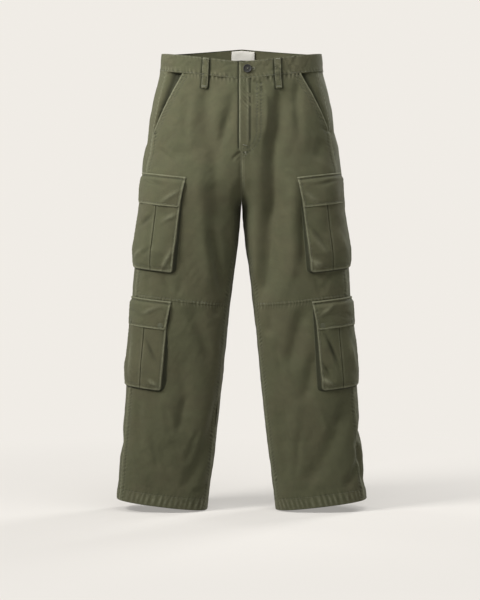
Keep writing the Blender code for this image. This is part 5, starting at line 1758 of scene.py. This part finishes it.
def make_pocket_face(pocket, side):
    """The pocket's front: two halves that meet at an inverted pleat."""
    name = f"pocket_face_{pocket.name}_{SIDE_NAMES[side]}"
    start = pocket.top_drop + MOUTH_BELOW_FLAP_TOP
    drops = panel_rows(start, pocket.end_drop, FACE_PITCH)
    section = np.array(face_section(pocket))
    drop = np.repeat(drops[:, None], len(section), axis=1)
    half = rounded_half(pocket.half_width, CORNER_ROUND, pocket.end_drop - drops)[:, None]
    limit = 0.6 * pocket.half_width
    squeeze = (half - limit) / (pocket.half_width - limit)
    place = np.abs(section[:, 0])[None, :]
    across = np.sign(section[:, 0]) * np.where(place > limit, limit + (place - limit) * squeeze, place)
    relief = face_relief(pocket, side, drop, across) * section[:, 2]
    height = pocket_depth(pocket, drop) + POCKET_SHELL + relief + section[:, 1]
    top = section[:, 2] > 0
    outer = pocket_point(pocket, side, drop, across, height)
    inner = pocket_point(pocket, side, drop, across, height - POCKET_SHELL * np.where(top, 1.0, 0.4))
    along_section = np.cumsum(np.abs(np.diff(section[:, 0], prepend=section[0, 0])))
    uv = np.stack(np.broadcast_arrays(along_section[None, :], -drop), axis=-1)
    # The pleat's inner folds, under the face's top, are painted fully dark as shade.
    wear = np.where(top, face_wear_and_shade(pocket, side, drop, across, half), -1.0)
    piece = shell(f"cloth_{name}", outer, inner, side == RIGHT, TWILL, "twill", uv, wear)
    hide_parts(name)
    sewn = stitch_mesh(f"stitches_{name}", face_stitches(pocket, side, start))


def gusset_path(pocket):
    """Places along the pocket's front, foot and back edges: (across, drop, outward across, outward drop)."""
    edge = pocket.half_width + POCKET_SHELL
    end = pocket.end_drop + POCKET_SHELL
    radius = CORNER_RADIUS
    start = pocket.top_drop + MOUTH_BELOW_FLAP_TOP
    sides = np.linspace(start, end - radius, 66)[:-1]
    turn = np.linspace(0, pi / 2, 9)
    foot = np.linspace(radius - edge, edge - radius, 40)[1:-1]
    path = [(-edge, drop, -1.0, 0.0) for drop in sides]
    side, low = edge - radius, end - radius
    path += [(-(side + radius * cos(a)), low + radius * sin(a), -cos(a), sin(a)) for a in turn]
    path += [(across, end, 0.0, 1.0) for across in foot]
    path += [(side + radius * sin(a), low + radius * cos(a), sin(a), cos(a)) for a in turn]
    return np.array(path + [(edge, drop, 1.0, 0.0) for drop in sides[::-1]])


def make_pocket_gusset(pocket, side):
    """The bellows strip between the leg and the edge of the face, folded in along its middle."""
    name = f"pocket_gusset_{pocket.name}_{SIDE_NAMES[side]}"
    path = gusset_path(pocket)
    shares = np.linspace(0, 1, 12)
    across, drop, toward_side, toward_foot = (path[:, k : k + 1] for k in range(4))
    run = np.cumsum(np.hypot(*np.diff(path[:, :2], axis=0, prepend=path[:1, :2]).T))
    splay = MM * along(pocket.splay, pocket_share(pocket, drop))
    height = pocket_depth(pocket, drop) + 0.3 * MM
    seed = pocket_seed(pocket, side) + 12
    grids = []
    for inset in (0.0, POCKET_SHELL):
        slack = noise(run[:, None], 0.2, 0.02, seed)
        pinch = np.sin(pi * shares) ** 1.2 * (3.2 + 0.8 * slack) * MM
        beyond = (1 - shares) * splay * (1 + 0.25 * shares) - pinch - inset
        below = (1 - shares) * splay * FOOT_SPLAY_BELOW - 0.6 * pinch - inset
        foot = 0.2 * MM
        out = foot + (height - foot) * shares - 0.3 * inset
        drops, acrosses = drop + toward_foot * below, across + toward_side * beyond
        grids.append(pocket_point(pocket, side, drops, acrosses, out))
    uv = np.stack(np.broadcast_arrays(run[:, None], shares * 0.02), axis=-1)
    # The gusset is painted dark through its middle as shade, with a pale rubbed rim where it meets the face.
    wear = np.tile(0.5 * groove(shares - 1, 0.1) - 1.2 * np.sin(pi * shares) ** 0.4, (len(path), 1))
    piece = shell(f"cloth_{name}", *grids, side == LEFT, TWILL, "twill", uv, wear)
    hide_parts(name)


def flap_half_width(pocket, drop):
    """From the pleat line to the flap's side: as wide as the gusset's foot at the top, as the face below."""
    share = (drop - pocket.top_drop) / (pocket.flap_end_drop - pocket.top_drop)
    return pocket.half_width + FLAP_TOP_BEYOND + (-FLAP_SIDE_IN - FLAP_TOP_BEYOND) * share


def flap_height(pocket, side, drop, across, half):
    """Height of the flap's outer side over the leg."""
    down = drop - pocket.top_drop
    up = pocket.flap_end_drop - drop
    inside = half - np.abs(across)
    seed = pocket_seed(pocket, side) + 16
    over_face = pocket_depth(pocket, drop) + POCKET_SHELL + FLAP_OVER_FACE
    total = FLAP_TOP + (over_face - FLAP_TOP) * ease((down - 4 * MM) / (12 * MM))
    total = total - edge_roll(down, 2.2 * MM) + 0.8 * MM * groove(down - 2.6 * MM, 2.0 * MM)
    total += stitched(FLAP_TOP_ROW, down - FLAP_TOP_STITCH, across, seed)
    near_edge = np.minimum(inside, up)
    total += 0.6 * MM * groove(near_edge - 2.0 * MM, 1.8 * MM)
    total -= 0.45 * MM * groove(near_edge - FLAP_STITCH_IN, 1.2 * MM)
    total += stitched(FLAP_FOOT_ROW, up - FLAP_STITCH_IN, across, seed + 3)
    total += stitched(FLAP_SIDE_ROW, inside - FLAP_STITCH_IN, drop, seed + 6)
    total += bumps("flap", pocket, side, across, up)
    total -= edge_roll(inside, 1.0 * MM) + edge_roll(up, 1.0 * MM)
    total += 0.9 * MM * noise(across, drop, 0.028, seed + 9) * ease(down / 0.012)
    total += 0.45 * MM * np.abs(noise(across - 0.5 * drop, drop, 0.014, seed + 10))
    if not pocket.fastened:
        return total + FLAP_LIFT * np.cos(across * 62 + 0.4) * ease((down - 0.02) / 0.05)
    for toward in (-1, 1):
        snap_across = toward * (pocket.half_width - SNAP_IN)
        away = np.hypot(across - snap_across, up - SNAP_UP)
        total -= 0.9 * MM * groove(away, 9 * MM)
    return total


def flap_wear_and_shade(pocket, side, drop, across, half):
    """Where a flap is rubbed pale along its edges, its rolled top, its top corners and the tops of its bumps,
    with painted shade in the bumps' dents and along its stitches.
    """
    inside, down, up = half - np.abs(across), drop - pocket.top_drop, pocket.flap_end_drop - drop
    edge = np.minimum(inside, up)
    wear = 0.95 * groove(edge - 1.4 * MM, 2.0 * MM) + 0.7 * groove(down - 1.8 * MM, 1.8 * MM)
    wear += bumps("flap", pocket, side, across, up) / BUMP_WEAR_AND_SHADE
    wear += 0.7 * groove(np.hypot(inside - 2 * MM, down - 2 * MM), 5 * MM)
    wear -= 0.5 * groove(edge - FLAP_STITCH_IN, 1.3 * MM) + 0.7 * groove(down - FLAP_TOP_STITCH, 1.6 * MM)
    return wear


def flap_stitches(pocket, side):
    """The rows of stitches down both sides of a flap, along its foot and along its sewn top."""

    def sewn_line(drops, across):
        out = flap_height(pocket, side, drops, across, flap_half_width(pocket, drops))
        return line_stitches(*pocket_line(pocket, side, drops, across, out))

    foot = pocket.flap_end_drop - FLAP_STITCH_IN
    downs = np.linspace(pocket.top_drop + FLAP_TOP_STITCH + 0.5 * MM, foot, 30)
    edges = flap_half_width(pocket, downs) - FLAP_STITCH_IN
    top = np.full(50, pocket.top_drop + FLAP_TOP_STITCH)
    top_half = float(flap_half_width(pocket, top[0])) - 3 * MM
    stitches = [sewn_line(downs, edges * place) for place in (-1, 1)]
    stitches.append(sewn_line(np.full(50, foot), np.linspace(-edges[-1], edges[-1], 50)))
    stitches.append(sewn_line(top, np.linspace(-top_half, top_half, 50)))
    return stitches


def make_flap(pocket, side):
    """The pocket's flap, with a rolled top, rounded lower corners and an edge stitched all round."""
    name = f"pocket_flap_{pocket.name}_{SIDE_NAMES[side]}"
    drops = panel_rows(pocket.top_drop, pocket.flap_end_drop, FLAP_PITCH)
    up = pocket.flap_end_drop - drops
    half = rounded_half(flap_half_width(pocket, drops), CORNER_ROUND, up + 0.02 * MM)[:, None]
    edge_shares = 1 - EDGE_STEPS[:9] / pocket.half_width
    inside = np.linspace(float(edge_shares[-1]), 0, 24)[1:]
    shares = np.concatenate([-edge_shares, -inside, inside[::-1][1:], edge_shares[::-1]])
    across = half * shares
    drop = np.repeat(drops[:, None], len(shares), axis=1)
    height = flap_height(pocket, side, drop, across, half)
    outer = pocket_point(pocket, side, drop, across, height)
    inner = pocket_point(pocket, side, drop, across, height - FLAP_THICK)
    uv = np.stack([across, -drop], axis=-1)
    wear = flap_wear_and_shade(pocket, side, drop, across, half)
    piece = shell(f"cloth_{name}", outer, inner, side == RIGHT, TWILL, "twill", uv, wear)
    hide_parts(name)
    sewn = stitch_mesh(f"stitches_{name}", flap_stitches(pocket, side))


def make_snap(pocket, side, end_name, toward):
    """A snap's cap on a lower corner of the flap: a ring with a sunk middle."""
    drop = pocket.flap_end_drop - SNAP_UP
    half = float(flap_half_width(pocket, drop))
    across = toward * (half - SNAP_IN)
    height = float(flap_height(pocket, side, np.array(drop), np.array(across), np.array(half)))
    deg = float(pocket_deg(pocket, np.array([drop]), np.array([across]))[0])
    matrix = cloth_frame(side, drop, deg, height - 0.3 * MM)
    profile = (
        (0.2, -0.3), (5.6, -0.3), (6.4, 0.2), (6.5, 0.7), (6.2, 1.25), (5.6, 1.55), (4.8, 1.5), (4.2, 1.15),
        (3.8, 1.0), (3.4, 1.25), (2.8, 1.5), (1.6, 1.6), (0.2, 1.6),
    )
    name = f"snap_{end_name}_{SIDE_NAMES[side]}"
    snap = turned(f"cap_{name}", [(r * MM, h * MM) for r, h in profile], matrix, SNAP, 32)
    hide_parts(name)


# ==== floor, lights and camera


BACKDROP_COLOUR = (0.872, 0.840, 0.792)
OVERHEAD_COLOUR = (0.12, 0.118, 0.115)
FLOOR_Z = -1.0415
FLOOR_RADIUS = 60.0
SHINE_FROM, SHINE_FULL = 0.4, 1.6  # distances from the middle between which the floor turns to shining
NEAR_SHINE = 0.38


def make_stage():
    """A wide pale floor. Far out it shines in the colour of the air behind, so that no edge shows."""
    rings = [0.0001, *np.geomspace(0.5, FLOOR_RADIUS, 24)]
    turns = np.linspace(0, 2 * pi, 64, endpoint=False)
    points = [(r * cos(a), r * sin(a), FLOOR_Z) for r in rings for a in turns]
    numbers = np.arange(len(points)).reshape(len(rings), -1)
    mesh = bpy.data.meshes.new("floor")
    mesh.from_pydata(points, [], grid_quads(np.concatenate([numbers, numbers[:, :1]], axis=1)).tolist())
    material, tree, shader = new_material("pale_floor", 0.9)
    place = node(tree, "ShaderNodeTexCoord").outputs["Object"]
    flat = node(tree, "ShaderNodeVectorMath", [(0, place)], operation="MULTIPLY")
    flat.inputs[1].default_value = (1.0, 1.0, 0.0)
    away = node(tree, "ShaderNodeVectorMath", [(0, flat.outputs[0])], operation="LENGTH").outputs["Value"]
    far = ramp(tree, away, SHINE_FROM, SHINE_FULL)
    patches = noise_node(tree, place, 3.0)
    pale = blend_colours(tree, patches, (0.315, 0.304, 0.288), (0.325, 0.314, 0.298))
    tree.links.new(blend_colours(tree, far, pale, (0.0, 0.0, 0.0)), shader.inputs["Base Color"])
    shader.inputs["Specular IOR Level"].default_value = 0.0
    shader.inputs["Emission Color"].default_value = (*BACKDROP_COLOUR, 1.0)
    shine = ramp(tree, away, SHINE_FROM, SHINE_FULL, NEAR_SHINE, 1.0)
    tree.links.new(shine, shader.inputs["Emission Strength"])
    mesh.materials.append(material)
    floor = bpy.data.objects.new("floor", mesh)
    bpy.context.scene.collection.objects.link(floor)


# spread is in degrees and power in watts.
Lamp = namedtuple("Lamp", "name place target size power colour spread")
WHITE = (1.0, 1.0, 1.0)
LAMPS = (
    Lamp("key", (-2.0, -1.4, 1.25), (0.0, 0.0, 0.2), (1.0, 1.1), 46.0, (1.0, 0.99, 0.97), 100),
    Lamp("top", (0.5, -1.0, 2.45), (0.0, 0.0, -0.6), (2.4, 1.8), 84.0, WHITE, 180),
    Lamp("far side", (2.25, 2.2, 1.2), (0.0, 0.0, -0.4), (1.1, 1.3), 95.0, WHITE, 180),
    Lamp("behind", (-2.5, 1.7, 1.2), (0.0, 0.0, -0.4), (1.0, 1.2), 24.0, WHITE, 180),
)


def make_lamp(lamp):
    light = bpy.data.lights.new(lamp.name, "AREA")
    light.shape = "RECTANGLE"
    light.size, light.size_y = lamp.size
    light.energy = lamp.power
    light.color = lamp.colour
    light.spread = radians(lamp.spread)
    holder = bpy.data.objects.new(lamp.name, light)
    holder.location = lamp.place
    toward = Vector(lamp.target) - Vector(lamp.place)
    holder.rotation_euler = toward.to_track_quat("-Z", "Y").to_euler()
    bpy.context.scene.collection.objects.link(holder)


def make_lights():
    """A broad key from the camera's left, a soft top light, two lights from behind, and pale air all round
    that is darker overhead."""
    for lamp in LAMPS:
        make_lamp(lamp)
    world = bpy.data.worlds.new("studio")
    world.use_nodes = True
    tree = world.node_tree
    direction = node(tree, "ShaderNodeTexCoord").outputs["Generated"]
    height = node(tree, "ShaderNodeSeparateXYZ", [("Vector", direction)]).outputs["Z"]
    overhead = ramp(tree, height, 0.08, 0.2)
    colour = blend_colours(tree, overhead, BACKDROP_COLOUR, OVERHEAD_COLOUR)
    background = tree.nodes["Background"]
    tree.links.new(colour, background.inputs["Color"])
    bpy.context.scene.world = world
    bpy.context.scene.view_settings.view_transform = "Standard"


CAMERA_PLACE = (-0.0038, -5.5, -0.2332)
CAMERA_DOWN = radians(3.2)  # how far it looks down from level
FOCAL_LENGTH, SENSOR_WIDTH = 138.85, 36.0


def make_camera():
    camera = bpy.data.cameras.new("camera")
    camera.lens = FOCAL_LENGTH
    camera.sensor_width = SENSOR_WIDTH
    view = bpy.data.objects.new("camera", camera)
    view.location = CAMERA_PLACE
    view.rotation_euler = (pi / 2 - CAMERA_DOWN, 0.0, 0.0)
    bpy.context.scene.collection.objects.link(view)
    bpy.context.scene.camera = view


def main():
    for side in (RIGHT, LEFT):
        make_front_upper(side)
        make_front_lower(side)
        make_back(side)
        make_hip_facing(side)
        for pocket in POCKETS:
            make_pocket_gusset(pocket, side)
            make_pocket_face(pocket, side)
            make_flap(pocket, side)
            if pocket.fastened:
                make_snap(pocket, side, "front", -1)
                make_snap(pocket, side, "back", 1)
    make_waistband()
    for name, side, deg in LOOPS:
        make_belt_loop(name, side, deg)
    make_button()
    make_label()
    make_stage()
    make_lights()
    make_camera()


main()
